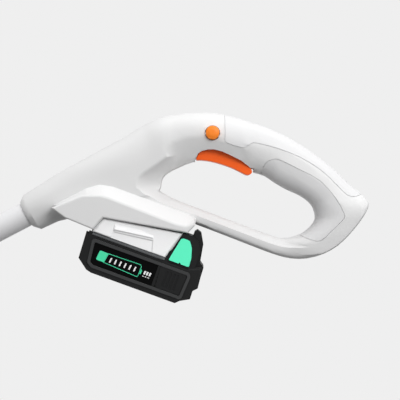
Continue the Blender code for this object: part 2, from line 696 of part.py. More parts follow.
PACK_LID_ROOM = [(-44.0, 30.0), (-39.6, 46.0), (CELL_END - 2.0, 56.6), (CELL_END - 5.2, CELLS_TOP + 2.2),
                 (CELL_END, CELLS_TOP + 2.2), (CELL_END, 30.0)]
PACK_STEM = [(RAIL_START, 48.0), (RAIL_END, 57.0), (RAIL_END, 64.4), (RAIL_START, 64.4)]
PACK_BUTTON = [(CELL_END - 2.9, 34.3), (CELL_END + 1.8, 55.9), (CELL_END + 9.4, 55.4),
               (CELL_END + 14.3, 45.2), (CELL_END + 15.8, 34.3)]

# Outlines in the head's frame: (distance along the pole, height)
HEAD_SIDE = [(PIVOT_A + 14, 16.0), (PIVOT_A + 20, 31.0), (MOTOR_A - 9, 40.0), (MOTOR_A + 17, HEAD_TOP),
             (GEAR_A + 16, 32.0), (HEAD_END - 27, 17.0), (HEAD_END + 2, 4.0), (HEAD_END + 6, -4.0),
             (HEAD_END, HEAD_FLOOR), (PIVOT_A + 28, HEAD_FLOOR), (PIVOT_A + 16, -11.0)]
HEAD_ROUNDING = [(0.0, 0.0), (0.55, 0.0), (0.85, 2.5), (1.0, 7.0)]    # share of half width, inset
EARS = [(PIVOT_A - 11, 0), (PIVOT_A - 8, 8.5), (PIVOT_A, 12), (PIVOT_A + 24, 15), (PIVOT_A + 28, -13),
        (PIVOT_A, -12), (PIVOT_A - 8, -8.5)]
TONGUE = [(PIVOT_A - 34, 12), (PIVOT_A, 12), (PIVOT_A + 9, 8.5), (PIVOT_A + 12, 0),
          (PIVOT_A + 9, -8.5), (PIVOT_A, -12), (PIVOT_A - 34, -12)]


def grown(outline, amount):
    """The outline moved outwards by the amount, corner by corner."""
    area = sum(a[0] * b[1] - b[0] * a[1] for a, b in zip(outline, outline[1:] + outline[:1]))
    side = 1.0 if area > 0 else -1.0
    made = []
    for before, here, after in zip(outline[-1:] + outline[:-1], outline, outline[1:] + outline[:1]):
        one = Vector((here[0] - before[0], here[1] - before[1])).normalized()
        two = Vector((after[0] - here[0], after[1] - here[1])).normalized()
        out = Vector((one.y + two.y, -one.x - two.x)).normalized() * side
        turn = max(0.5, math.sqrt(max(0.0, (1 + one.dot(two)) / 2)))
        made.append((here[0] + out.x * amount / turn, here[1] + out.y * amount / turn))
    return made


def across(name, radius, start, end, at, frame=WORLD, sides=12):
    """A round bar along Y through the point (x, z), or (up, a) in the pole's frame."""
    return rod(name, radius, start, end, frame, at=at, axis="Y", sides=sides)


def hollow_housing():
    """The room inside the handle, with the bosses, lining and shelves left standing."""
    room = handle_solid("room", inset=WALL, first=2, last=-5, fine=False)
    for side in (-1, 1):
        cut(room, scoop_cutter(side, SCOOP_WALL))
    for spot in HOUSING_SCREWS:
        cut(room, across("boss", BOSS_R, -BEYOND, BEYOND, spot))
    collar = LOCK_R + SLIDE_GAP + LOCK_BOSS
    pin_boss = TRIGGER_PIN_R + TRIGGER_PIN_BOSS
    inner = TRIGGER_HALF_WIDTH + SLIDE_GAP
    for side in (-1, 1):
        start, end = sorted((side * LOCK_BOSS_START, side * BEYOND))
        cut(room, across("boss", collar, start, end, LOCK_AT, sides=24))
        start, end = sorted((side * inner, side * BEYOND))
        cut(room, across("boss", pin_boss, start, end, TRIGGER_PIVOT))
        start, end = sorted((side * (SWITCH_HALF + GAP), side * BEYOND))
        cut(room, block("shelf", (SWITCH_START - 2, start, SPRING_TOP + SHELF_LOW),
                        (SWITCH_START + SWITCH_LENGTH + 2, end, SPRING_TOP + SHELF_HIGH)))
    cut(room, prism("lining", grown(TRIGGER_SLOT, SLOT_LINING), BEYOND))
    roof = SPRING_TOP + SWITCH_HEIGHT
    cut(room, block("rib", (SWITCH_START + 2, -BEYOND, roof + GAP),
                    (SWITCH_START + SWITCH_LENGTH - 2, BEYOND, roof + RIB_HEIGHT)))
    return room


def make_skins(body):
    """The top cover and the grip insert, let into pockets in the housing."""
    skins = []
    for name, area in (("top_cover", TOP_COVER_AREA), ("grip_insert", GRIP_AREA)):
        skin = common(prism(name, area, BEYOND), copy_of(body, "outer"))
        cut(skin, handle_solid("under", inset=COVER_SKIN, fine=False))
        finish(skin, "pale")
        skins.append(skin)
    return skins


def cut_pockets(body):
    for area in (TOP_COVER_AREA, GRIP_AREA):
        under = handle_solid("under", inset=COVER_SKIN + GAP, fine=False)
        cut(body, cut(prism("pocket", grown(area, GAP), BEYOND), under))


def cut_trigger_room(body):
    cut(body, prism("slot", TRIGGER_SLOT, BEYOND))
    half = TRIGGER_HALF_WIDTH + SLIDE_GAP
    for start, end, floor in TRIGGER_WELL:
        cut(body, block("well", (start, -half, floor), (end, half, SPRING_TOP - 1.0)))
    cut(body, across("hole", LOCK_R + SLIDE_GAP, -BEYOND, BEYOND, LOCK_AT, sides=24))
    reach = TRIGGER_PIN_HALF + GAP
    cut(body, across("hole", TRIGGER_PIN_R + GAP, -reach, reach, TRIGGER_PIVOT))


def pack_rail_space(name, clearance, start, end):
    """The T-shaped run of the battery's rail, grown by a clearance."""
    head = block(name, (start, -RAIL_HALF_WIDTH - clearance, RAIL_FLOOR - clearance),
                 (end, RAIL_HALF_WIDTH + clearance, RAIL_TOP + clearance), PACK)
    stem = block(name + "_stem", (start, -STEM_HALF_WIDTH - clearance, PACK_RIM),
                 (end, STEM_HALF_WIDTH + clearance, RAIL_TOP), PACK)
    return join(head, stem)


def halves(body, left, right, frame=WORLD):
    """Parts a body at the plane y = 0 and names its two halves."""
    far = 2.0 * (PIVOT_A + BEYOND)
    other = copy_of(body, right)
    body.name = left
    cut(body, block("far_side", (-far, -PART_GAP / 2, -far), (far, far, far), frame))
    cut(other, block("near_side", (-far, -far, -far), (far, PART_GAP / 2, far), frame))
    for half in (body, other):
        finish(half, "white")
    return [body, other]


def make_housing():
    body = handle_solid("housing", mouth=True)
    join(body, layered("dock", [(-DOCK_HALF_WIDTH, DOCK_OUTER), (-DOCK_LEDGE_HALF_WIDTH, DOCK_INNER),
                                (DOCK_LEDGE_HALF_WIDTH, DOCK_INNER), (DOCK_HALF_WIDTH, DOCK_OUTER)], PACK))
    for side in (-1, 1):
        cut(body, scoop_cutter(side))
    skins = make_skins(body)
    cut(body, hollow_housing())
    cut_pockets(body)
    cut_trigger_room(body)
    cut(body, rod("bore", POLE_R + GAP, -POLE_GRIPPED - GAP, 10, POLE))
    cut(body, rod("cable_way", CABLE_R + SLIDE_GAP, -POLE_GRIPPED - CABLE_TAIL - 5, -POLE_GRIPPED + 5,
                  POLE, at=(-CABLE_DROP, 0), sides=12))
    cut(body, pack_rail_space("channel", SLIDE_GAP, CHANNEL_START, RAIL_END + 50))
    for spot in HOUSING_SCREWS:
        cut(body, across("hole", SCREW_SHANK_R + GAP, HOUSING_SCREW_TIP - 0.5, BEYOND, spot, sides=10))
        cut(body, across("recess", SCREW_HEAD_R + SLIDE_GAP, HOUSING_SCREW_SEAT, BEYOND, spot))
    return halves(body, "housing_left", "housing_right") + skins


# Pieces inside the handle

def make_screw(name, spot, tip, seat):
    """A screw along Y at (x, z), from its tip to the face that its head rests on."""
    x, z = spot
    start = seat + GAP
    top = start + SCREW_HEAD_H
    screw = across(name, SCREW_SHANK_R, tip, start + BITE, spot, sides=10)
    join(screw, across("cap", SCREW_HEAD_R, start, top, spot))
    cut(screw, block("slot", (x - SCREW_SLOT_HALF, top - SCREW_SLOT_DEPTH, z - SCREW_HEAD_R),
                     (x + SCREW_SLOT_HALF, top + 1, z + SCREW_HEAD_R)))
    finish(screw, "steel")
    return screw


def make_trigger():
    """The trigger on its cross pin, with the spring in a pocket at its free end."""
    trigger = prism("trigger", TRIGGER_SHAPE, TRIGGER_HALF_WIDTH, bevel=TRIGGER_BEVEL)
    cut(trigger, across("hole", TRIGGER_PIN_R + GAP, -BEYOND, BEYOND, TRIGGER_PIVOT))
    cut(trigger, rod("seat", SPRING_R + 1.2, SPRING_LOW, SPRING_TOP + 15, at=(SPRING_X, 0), sides=12))
    set_origin(trigger, moved(WORLD, TRIGGER_PIVOT[0], 0, TRIGGER_PIVOT[1]))
    finish(trigger, "orange")
    pin = across("trigger_pin", TRIGGER_PIN_R, -TRIGGER_PIN_HALF, TRIGGER_PIN_HALF, TRIGGER_PIVOT)
    finish(pin, "steel")
    spring = coil("trigger_spring", SPRING_R, SPRING_WIRE, 5, SPRING_LOW + GAP, SPRING_TOP - GAP,
                  frame=moved(WORLD, SPRING_X))
    finish(spring, "steel")
    # Micro switch over the trigger's free end
    switch = block("micro_switch", (SWITCH_START, -SWITCH_HALF, SPRING_TOP),
                   (SWITCH_START + SWITCH_LENGTH, SWITCH_HALF, SPRING_TOP + SWITCH_HEIGHT), bevel=0.4)
    finish(switch, "black")
    return [trigger, pin, spring, switch]


def make_lock():
    """The lock-off bolt across the housing, one round head at each side."""
    place = moved(WORLD, LOCK_AT[0], 0, LOCK_AT[1]) @ CROSS
    reach = FRONT_HALF_WIDTH + LOCK_PROUD
    head = [(0, reach), (LOCK_R - 1.4, reach), (LOCK_R - 0.5, reach - 0.4), (LOCK_R, reach - 1.4),
            (LOCK_R, LOCK_WAIST_HALF + 1.0), (LOCK_WAIST_R, LOCK_WAIST_HALF)]
    bolt = turned("lock_off_button", head + [(r, -h) for r, h in reversed(head)], place)
    finish(bolt, "orange")
    end = LOCK_WAIST_HALF - 0.4
    spring = coil("lock_off_spring", LOCK_SPRING_R, 0.8, 4, -end, end, place)
    finish(spring, "steel")
    return [bolt, spring]


def make_terminal():
    """The contact block at the closed end of the dock's channel."""
    start = CHANNEL_START + GAP
    base = block("terminal_block", (start, -STEM_HALF_WIDTH, TERMINAL_LOW),
                 (RAIL_START - GAP, STEM_HALF_WIDTH, RAIL_TOP), PACK)
    made = [base]
    for y, name in zip(CONTACT_Y, ("contact_plus", "contact_data", "contact_minus")):
        half = CONTACT_HALF + GAP
        cut(base, block("slot", (start - 5, y - half, CONTACT_LOW - GAP),
                        (RAIL_START + 5, y + half, CONTACT_HIGH + GAP), PACK))
        plate = block(name, (start + 1, y - CONTACT_HALF, CONTACT_LOW),
                      (RAIL_START + CONTACT_REACH, y + CONTACT_HALF, CONTACT_HIGH), PACK)
        finish(plate, "brass")
        made.append(plate)
    finish(base, "black")
    return made


# Battery pack, in its own tilted frame

def rounded_pack(name, outline, half_width, shoulder):
    """An outline through the battery's width, drawn in at both sides."""
    small = grown(outline, -shoulder)
    return layered(name, [(-half_width, small), (-half_width + shoulder, outline),
                          (half_width - shoulder, outline), (half_width, small)], PACK)


def side_block(name, side, area, depth):
    """A box on one side of the battery over an area (u0, u1, v0, v1), sunk to a depth."""
    start, end = sorted((side * (PACK_HALF_WIDTH - depth), side * BEYOND))
    return block(name, (area[0], start, area[2]), (area[1], end, area[3]), PACK)


def make_lower_shell():
    body = rounded_pack("battery_lower_shell", PACK_BODY, PACK_HALF_WIDTH, PACK_SHOULDER)
    room = [(u, v if v < PACK_RIM - 2 * PACK_WALL else v + 8.0)
            for u, v in grown(PACK_BODY, -PACK_WALL) if u < PACK_ROOM_END]
    cut(body, prism("room", room, PACK_HALF_WIDTH - PACK_WALL, PACK))
    join(body, prism("cheeks", PACK_CHEEK, UPPER_HALF_WIDTH, PACK, bevel=1.0))
    join(body, prism("tower", PACK_TOWER, TOWER_HALF_WIDTH, PACK, bevel=1.5))
    inner = UPPER_HALF_WIDTH - UPPER_WALL
    cut(body, block("cell_room", (-BEYOND, -inner, 30), (CELLS_REACH + GAP, inner, CELLS_TOP + 2.2), PACK))
    pitch = (PAD_AREA[3] - PAD_AREA[2]) / PAD_RIBS
    panel = (LABEL_AREA[0] - GAP, LABEL_AREA[1] + GAP, LABEL_AREA[2] - GAP, LABEL_AREA[3] + GAP)
    for side in (-1, 1):
        cut(body, side_block("panel", side, panel, LABEL_SKIN + GAP))
        for rib in range(PAD_RIBS):
            base = PAD_AREA[2] + rib * pitch
            groove = (PAD_AREA[0], PAD_AREA[1], base, base + pitch * 0.45)
            cut(body, side_block("groove", side, groove, PAD_GROOVE))
        cut(body, prism("gate", grown(PACK_BUTTON, GAP), 6.0, PACK, middle=side * UPPER_HALF_WIDTH))
        # Room for a release spring beside the bridge
        u, v = RELEASE_SPRING_AT
        reach = RELEASE_SPRING_R + SLIDE_GAP
        start, end = sorted((side * inner, side * BRIDGE_HALF_WIDTH))
        cut(body, block("pocket", (u - reach, start, v - reach), (u + reach, end, v + reach), PACK))
        start, end = sorted((side * LIP_INNER, side * LIP_OUTER))
        join(body, block("lip", (-49.5, start, PACK_RIM - 3.5), (CELL_END - 4.0, end, LIP_TOP), PACK))
    finish(body, "black")
    return body


def make_upper_shell():
    upper = rounded_pack("battery_upper_shell", PACK_UPPER, UPPER_HALF_WIDTH, UPPER_SHOULDER)
    rail = block("rail", (RAIL_START, -RAIL_HALF_WIDTH, RAIL_FLOOR),
                 (RAIL_END, RAIL_HALF_WIDTH, RAIL_TOP), PACK)
    join(upper, rail, prism("stem", PACK_STEM, STEM_HALF_WIDTH, PACK))
    cut(upper, prism("room", PACK_LID_ROOM, UPPER_HALF_WIDTH - UPPER_WALL, PACK))
    for y in CONTACT_Y:
        half = CONTACT_HALF + 0.4
        cut(upper, block("slot", (RAIL_START - 5, y - half, CONTACT_LOW - 2),
                         (RAIL_START + CONTACT_REACH + 3, y + half, CONTACT_HIGH + 2), PACK))
    finish(upper, "pale")
    return upper


def make_release(side, word):
    """A release button with the spring behind it."""
    outer = UPPER_HALF_WIDTH + RELEASE_PROUD
    inner = outer - RELEASE_THICKNESS
    button = layered("release_button_" + word, [
        (side * inner, PACK_BUTTON), (side * (outer - RELEASE_EDGE), PACK_BUTTON),
        (side * outer, grown(PACK_BUTTON, -RELEASE_EDGE))], PACK)
    u, v = RELEASE_SPRING_AT
    seat = moved(PACK, u, side * inner, v)
    set_origin(button, seat)
    finish(button, "mint")
    facing = seat @ Matrix.Rotation(math.radians(90.0 * side), 4, "X")
    spring = coil("release_spring_" + word, RELEASE_SPRING_R, RELEASE_SPRING_WIRE, 4,
                  GAP, inner - BRIDGE_HALF_WIDTH - GAP, facing)
    finish(spring, "steel")
    return [button, spring]


def make_label(side, word):
    start, end = sorted((side * PACK_HALF_WIDTH, side * (PACK_HALF_WIDTH - LABEL_SKIN)))
    low_u, high_u, low_v, high_v = LABEL_AREA
    label = block("battery_label_" + word, (low_u, start, low_v), (high_u, end, high_v), PACK)
    finish(label, "gloss")
    return label


def make_cells():
    """Six cells in two layers, the upper set forward of the buttons, and the board."""
    made = []
    for layer, shift in enumerate((0.0, CELL_STAGGER)):
        v = CELL_FLOOR + CELL_R + layer * (2 * CELL_R + GAP)
        for row in range(CELL_ROWS):
            y = (row - (CELL_ROWS - 1) / 2) * CELL_PITCH
            cell = rod(f"cell_{layer * CELL_ROWS + row + 1}", CELL_R, CELL_START - shift,
                       CELL_END - shift, PACK, at=(y, v), axis="X", sides=16)
            finish(cell, "cell")
            made.append(cell)
    board = block("battery_board", (CELL_START - 0.5, -BOARD_HALF_WIDTH, CELLS_TOP),
                  (CELLS_REACH - 0.5, BOARD_HALF_WIDTH, CELLS_TOP + BOARD_THICKNESS), PACK)
    finish(board, "board")
    return made + [board]


def make_battery():
    made = [make_lower_shell(), make_upper_shell()]
    for side, word in ((-1, "left"), (1, "right")):
        made.append(make_label(side, word))
        made += make_release(side, word)
    return made + make_cells()


# Pole, sleeve and cable

def make_pole():
    pole = rod("pole_tube", POLE_R, -POLE_GRIPPED, POLE_OUT, POLE, sides=32)
    cut(pole, rod("bore", POLE_R - POLE_WALL, -POLE_GRIPPED - 5, POLE_OUT + 5, POLE, sides=32))
    finish(pole, "silver")
    bore = POLE_R + GAP
    sleeve = turned("foam_grip", [
        (bore, SLEEVE_END), (SLEEVE_R - 2, SLEEVE_END), (SLEEVE_R, SLEEVE_END - 3),
        (SLEEVE_R, SLEEVE_START + 3), (SLEEVE_R - 2, SLEEVE_START), (bore, SLEEVE_START),
        (bore, SLEEVE_END)], POLE, sides=28)
    finish(sleeve, "foam")
    cable = rod("motor_cable", CABLE_R, -POLE_GRIPPED - CABLE_TAIL, POLE_OUT - 4, POLE,
                at=(-CABLE_DROP, 0), sides=10)
    finish(cable, "black")
    return [pole, sleeve, cable]


# Head: knuckle, housing, motor, gear and blades, all in the pole's frame

def upright(name, radius, low, high, at, sides=24):
    """A round bar square to the pole, from one height to another, at (y, a)."""
    return rod(name, radius, low, high, POLE, at=at, axis="X", sides=sides)


def head_prism(name, outline, half_width, bevel=0.0):
    """An outline of (a, up) points extruded along Y in the pole's frame."""
    return prism(name, [(up, a) for a, up in outline], half_width, POLE, bevel)


def make_knuckle():
    start = POLE_OUT - KNUCKLE_GRIP
    knuckle = turned("knuckle", [
        (0, PIVOT_A - 22), (13, PIVOT_A - 22), (KNUCKLE_R, PIVOT_A - 30), (KNUCKLE_R, start + 6),
        (KNUCKLE_R - 2, start), (0, start)], POLE, sides=28)
    join(knuckle, head_prism("tongue", TONGUE, TONGUE_HALF_WIDTH))
    cut(knuckle, rod("socket", POLE_R + GAP, start - 10, POLE_OUT + GAP, POLE, sides=32))
    cut(knuckle, across("hole", PIVOT_R + GAP, -BEYOND, BEYOND, (0, PIVOT_A), POLE, sides=16))
    cut(knuckle, across("way", LATCH_R + GAP, -BEYOND, BEYOND, (0, LATCH_A), POLE, sides=16))
    finish(knuckle, "white")
    pivot = across("head_pivot_bolt", PIVOT_R, -PIVOT_HALF, PIVOT_HALF, (0, PIVOT_A), POLE, sides=16)
    join(pivot, across("cap", PIVOT_CAP_R, -PIVOT_HALF - PIVOT_CAP_H, -PIVOT_HALF + BITE,
                       (0, PIVOT_A), POLE, sides=16))
    finish(pivot, "steel")
    latch = across("tilt_lock_button", LATCH_R, -LATCH_HALF, LATCH_HALF, (0, LATCH_A), POLE, sides=16)
    set_origin(latch, moved(POLE, z=LATCH_A))
    finish(latch, "orange")
    return [knuckle, pivot, latch]


def head_body(name, inset):
    """The head's closed form in layers across Y, drawn in by the inset."""
    reach = HEAD_HALF_WIDTH - inset
    half = []
    for share, draw in HEAD_ROUNDING:
        outline = [(up, a) for a, up in grown(HEAD_SIDE, -(draw + inset))]
        half.append((share * reach, outline))
    return layered(name, [(-y, outline) for y, outline in reversed(half)] + half[1:], POLE)


def hollow_head():
    """The room inside the head, with the seats of motor, axle and bar left standing."""
    room = head_body("room", HEAD_WALL)
    cut(room, block("nose", (-BEYOND, -BEYOND, HEAD_END - NOSE_SOLID), (BEYOND, BEYOND, HEAD_END + 40), POLE))
    for spot in HEAD_SCREWS:
        cut(room, across("boss", BOSS_R, -BEYOND, BEYOND, spot, POLE))
    for side in (-1, 1):
        start, end = sorted((side * (EAR_HALF_WIDTH + 3), side * BEYOND))
        cut(room, block("cheek", (-BEYOND, start, PIVOT_A - 12), (BEYOND, end, PIVOT_A + 30), POLE))
    cut(room, block("motor_floor", (-BEYOND, -BEYOND, MOTOR_A - 12),
                    (MOTOR_LOW - GAP, BEYOND, MOTOR_A + 9), POLE))
    cut(room, upright("axle_post", AXLE_R + 3, GEAR_TOP + GAP, BEYOND, (0, GEAR_A)))
    return room


def make_head_housing():
    body = head_body("head_housing", 0.0)
    join(body, head_prism("ears", EARS, EAR_HALF_WIDTH))
    cut(body, block("fork", (-BEYOND, -EAR_HALF_GAP, PIVOT_A - 40),
                    (BEYOND, EAR_HALF_GAP, PIVOT_A + FORK_DEPTH), POLE))
    cut(body, hollow_head())
    cut(body, upright("shaft_way", PINION_TIP + 1.0, -BEYOND, MOTOR_LOW, (0, MOTOR_A)))
    cut(body, upright("gear_well", GEAR_TIP + 1.2, GEAR_LOW - 1.0, GEAR_TOP + GAP, (0, GEAR_A), sides=32))
    cut(body, upright("crank_well", ECCENTRICITY + ECCENTRIC_R + 1.5, -BEYOND, GEAR_LOW, (0, GEAR_A)))
    cut(body, upright("axle_hole", AXLE_R + GAP, -BEYOND, AXLE_TOP + 1, (0, GEAR_A), sides=16))
    cut(body, across("hole", PIVOT_R + GAP, -PIVOT_HALF + 5, BEYOND, (0, PIVOT_A), POLE, sides=16))
    cut(body, across("cap_seat", PIVOT_CAP_R + GAP, -BEYOND, -EAR_HALF_WIDTH + 2.5,
                     (0, PIVOT_A), POLE, sides=16))
    for spot in HEAD_SCREWS:
        cut(body, across("hole", SCREW_SHANK_R + GAP, HEAD_SCREW_TIP - 0.5, BEYOND, spot, POLE, sides=10))
        cut(body, across("recess", SCREW_HEAD_R + SLIDE_GAP, HEAD_SCREW_SEAT, BEYOND, spot, POLE))
    for y in (-TRAY_SCREW_Y, TRAY_SCREW_Y):
        cut(body, upright("hole", SCREW_SHANK_R + GAP, -BEYOND, TRAY_SCREW_TOP + 0.5,
                          (y, TRAY_SCREW_A), sides=10))
    return halves(body, "head_housing_left", "head_housing_right", POLE)


def make_tray():
    """The tray under the head that covers the tails of the blades, and its screws."""
    roof = HEAD_FLOOR - GAP
    tray = head_prism("head_base_cover", [
        (TRAY_START, roof), (TRAY_END, roof), (TRAY_END, TRAY_FLOOR + 3), (TRAY_END - 3, TRAY_FLOOR),
        (TRAY_START + 6, TRAY_FLOOR), (TRAY_START, TRAY_FLOOR + 4)], TRAY_HALF_WIDTH, bevel=1.2)
    inner = TRAY_HALF_WIDTH - TRAY_WALL
    cut(tray, block("inside", (TRAY_FLOOR + TRAY_WALL, -inner, TRAY_START + TRAY_WALL),
                    (BEYOND, inner, TRAY_END - 12.0), POLE))
    mouth = BLADE_ROOT + 1.2
    cut(tray, block("mouth", (BLADE_LOW["lower_blade"] - 1.35, -mouth, TRAY_END - 20),
                    (BEYOND, mouth, TRAY_END + 10), POLE))
    finish(tray, "white")
    made = [tray]
    for number, y in enumerate((-TRAY_SCREW_Y, TRAY_SCREW_Y), 1):
        spot = (y, TRAY_SCREW_A)
        cut(tray, upright("hole", SCREW_SHANK_R + GAP, -BEYOND, BEYOND, spot, sides=10))
        cut(tray, upright("recess", SCREW_HEAD_R + SLIDE_GAP, -BEYOND, TRAY_SCREW_SEAT, spot, sides=12))
        top = TRAY_SCREW_SEAT - GAP
        screw = upright(f"base_screw_{number}", SCREW_SHANK_R, top - BITE, TRAY_SCREW_TOP, spot, sides=10)
        join(screw, upright("cap", SCREW_HEAD_R, top - SCREW_HEAD_H, top, spot, sides=12))
        finish(screw, "steel")
        made.append(screw)
    return made


def make_head():
    made = make_head_housing() + make_tray()
    for number, (up, a) in enumerate(HEAD_SCREWS, 1):
        made.append(make_screw(f"head_screw_{number}", pole_side(a, up), HEAD_SCREW_TIP, HEAD_SCREW_SEAT))
    return made


def gear_solid(name, teeth, at_a):
    """A spur gear about an upright axis at distance a, with simple flanks."""
    radius = GEAR_MODULE * teeth / 2
    half = math.pi / (2 * teeth) - GEAR_BACKLASH / (2 * radius)
    outline = []
    for tooth in range(teeth):
        centre = 2 * math.pi * tooth / teeth
        for reach, share in ((radius - DEDENDUM, -1.45), (radius + ADDENDUM, -0.55),
                             (radius + ADDENDUM, 0.55), (radius - DEDENDUM, 1.45)):
            angle = centre + share * half
            outline.append((reach * math.sin(angle), at_a + reach * math.cos(angle)))
    return flat_plate(name, outline, GEAR_LOW, GEAR_WIDTH)


def flat_plate(name, outline, low, thickness):
    """A plate between two heights from a closed outline of (y, a) points."""
    shape = bmesh.new()
    under = [shape.verts.new((low, y, a)) for y, a in outline]
    over = [shape.verts.new((low + thickness, y, a)) for y, a in outline]
    shape.faces.new(under)
    shape.faces.new(over)
    for i in range(len(under)):
        j = (i + 1) % len(under)
        shape.faces.new((under[i], under[j], over[j], over[i]))
    return object_from_bmesh(name, shape, POLE)


def make_drive():
    half_bore = SHAFT_R + GAP
    motor = turned("motor_can", [
        (0, MOTOR_LENGTH), (5, MOTOR_LENGTH), (5, MOTOR_LENGTH - 2), (MOTOR_R - 2, MOTOR_LENGTH - 2),
        (MOTOR_R, MOTOR_LENGTH - 4), (MOTOR_R, 0), (5, 0), (5, -1.5), (half_bore, -1.5),
        (half_bore, 6), (0, 6)], MOTOR_FRAME, sides=28)
    pinion = gear_solid("motor_pinion", PINION_TEETH, MOTOR_A)
    join(pinion, upright("shaft", SHAFT_R, GEAR_LOW - 0.5, MOTOR_LOW + 5, (0, MOTOR_A), sides=12))
    set_origin(pinion, moved(POLE, z=MOTOR_A))
    gear = gear_solid("drive_gear", GEAR_TEETH, GEAR_A)
    # A tooth of the pinion faces a gap of the gear
    axis = moved(POLE, z=GEAR_A)
    set_origin(gear, axis)
    gear.data.transform(Matrix.Rotation(math.pi / GEAR_TEETH, 4, "X"))
    join(gear, upright("hub", HUB_R, GEAR_LOW - 1.0, GEAR_LOW + 0.5, (0, GEAR_A)))
    ends = {"upper_blade": (1.0, GEAR_LOW - 0.8), "lower_blade": (-1.0, BLADE_LOW["upper_blade"] + 0.3)}
    for layer, (side, top) in ends.items():
        centre = (0, GEAR_A + side * ECCENTRICITY)
        join(gear, upright("eccentric", ECCENTRIC_R, BLADE_LOW[layer] + 0.1, top, centre))
    cut(gear, upright("hole", AXLE_R + GAP, -BEYOND, BEYOND, (0, GEAR_A), sides=16))
    axle = upright("gear_axle", AXLE_R, BLADE_LEVEL - 3.0, AXLE_TOP, (0, GEAR_A), sides=16)
    made = [motor, pinion, gear, axle]
    for item in made:
        finish(item, "steel")
    return made


def blade_outline():
    """Outline of a blade as (y, a) points, one side from tail to tip and back."""
    tail = YOKE_HALF_WIDTH + YOKE_RIM
    neck = GEAR_A + YOKE_HALF_LENGTH + YOKE_RIM
    side = [(tail, BLADE_START), (tail, neck), (BLADE_ROOT, neck + NECK_TAPER)]
    reach = BLADE_ROOT + TOOTH_REACH
    for tooth in range(BLADE_TEETH):
        middle = CUT_START + BLADE_PITCH * (tooth + 0.5)
        side += [(BLADE_ROOT, middle - TOOTH_ROOT / 2), (reach, middle - TOOTH_TIP / 2),
                 (reach, middle + TOOTH_TIP / 2), (BLADE_ROOT, middle + TOOTH_ROOT / 2)]
    side.append((BLADE_ROOT, BLADE_END))
    return side + [(0.0, BLADE_END + 8.0)] + [(-y, a) for y, a in reversed(side)]


def bolt_spots():
    """Distances along the pole of the bolts, each in the middle of a tooth."""
    step = (BLADE_TEETH - 1) / (BLADE_BOLTS - 1)
    return [CUT_START + BLADE_PITCH * (0.5 + step * bolt) for bolt in range(BLADE_BOLTS)]


def make_blades():
    made = []
    hole = BLADE_BOLT_R + 0.4
    for name, low in BLADE_LOW.items():
        blade = flat_plate(name, blade_outline(), low, BLADE_THICKNESS)
        cut(blade, block("yoke", (-BEYOND, -YOKE_HALF_WIDTH, GEAR_A - YOKE_HALF_LENGTH),
                         (BEYOND, YOKE_HALF_WIDTH, GEAR_A + YOKE_HALF_LENGTH), POLE))
        for a in bolt_spots():
            cut(blade, block("slot", (-BEYOND, -hole, a - hole - BOLT_SLOT),
                             (BEYOND, hole, a + hole + BOLT_SLOT), POLE))
        set_origin(blade, moved(POLE, x=low, z=GEAR_A))
        finish(blade, "steel")
        made.append(blade)
    return made


def make_bar():
    """The fixed bar over the blades, its bolts and the guard on its tip."""
    low = BLADE_LOW["upper_blade"] + BLADE_THICKNESS + GAP
    top = low + BAR_THICKNESS
    bottom = BLADE_LOW["lower_blade"]
    half = BLADE_ROOT - BAR_INSET
    start = HEAD_END - BAR_TAIL
    end = BLADE_END + BAR_TIP
    corners = [(-half, start), (half, start), (half, end), (-half, end)]
    bar = flat_plate("blade_bar", corners, low, BAR_THICKNESS)
    made = [bar]
    for number, a in enumerate(bolt_spots(), 1):
        spot = (0, a)
        cut(bar, upright("hole", BLADE_BOLT_R + GAP, -BEYOND, BEYOND, spot, sides=12))
        bolt = upright(f"blade_bolt_{number}", BLADE_BOLT_R, bottom - 1.0, top + BOLT_NUT_H - BITE,
                       spot, sides=12)
        join(bolt, upright("cap", BOLT_CAP_R, bottom - GAP - BOLT_CAP_H, bottom - GAP, spot, sides=16))
        join(bolt, upright("nut", BOLT_NUT_R, top + GAP, top + GAP + BOLT_NUT_H, spot, sides=6))
        made.append(bolt)
    for item in made:
        finish(item, "steel")
    first = BLADE_END + GUARD_START
    last = first + GUARD_LENGTH
    lip = first + 6.0
    guard = head_prism("tip_guard", [(first, top + 2), (last, top - 1), (last, bottom), (lip, bottom - 2),
                                     (lip, low), (first, low)], GUARD_HALF_WIDTH, bevel=1.0)
    cut(guard, block("slot", (low - GAP, -half - GAP, first - 10), (top + GAP, half + GAP, end + GAP), POLE))
    finish(guard, "orange")
    return made + [guard]


# Placing

def set_origin(item, frame):
    """Puts an object's origin and axes on a frame, with its shape unmoved."""
    item.data.transform(frame.inverted() @ item.matrix_world)
    item.matrix_world = frame


def hang(name, frame, items, home):
    """Parents pieces that move as one to an empty on their joint's axis."""
    axis = bpy.data.objects.new(name, None)
    axis.matrix_world = frame
    home.objects.link(axis)
    for item in items:
        place = item.matrix_world.copy()
        item.parent = axis
        item.matrix_parent_inverse = frame.inverted()
        item.matrix_world = place


def main():
    clear_scene()
    home = new_collection("hedge_trimmer")
    handle = make_housing() + make_trigger() + make_lock() + make_terminal()
    for number, spot in enumerate(HOUSING_SCREWS, 1):
        handle.append(make_screw(f"housing_screw_{number}", spot, HOUSING_SCREW_TIP, HOUSING_SCREW_SEAT))
    battery = make_battery()
    pole = make_pole() + make_knuckle()
    head = make_head() + make_drive() + make_blades() + make_bar()
    for item in handle + battery + pole + head:
        item.data.shade_smooth()
        item.data.set_sharp_from_angle(angle=math.radians(SHARP_ANGLE))
        move_to(item, home)
    bpy.context.view_layer.update()
    hang("battery_runner", PACK, battery, home)
    hang("tilt_axis", HEAD_FRAME, head, home)


main()
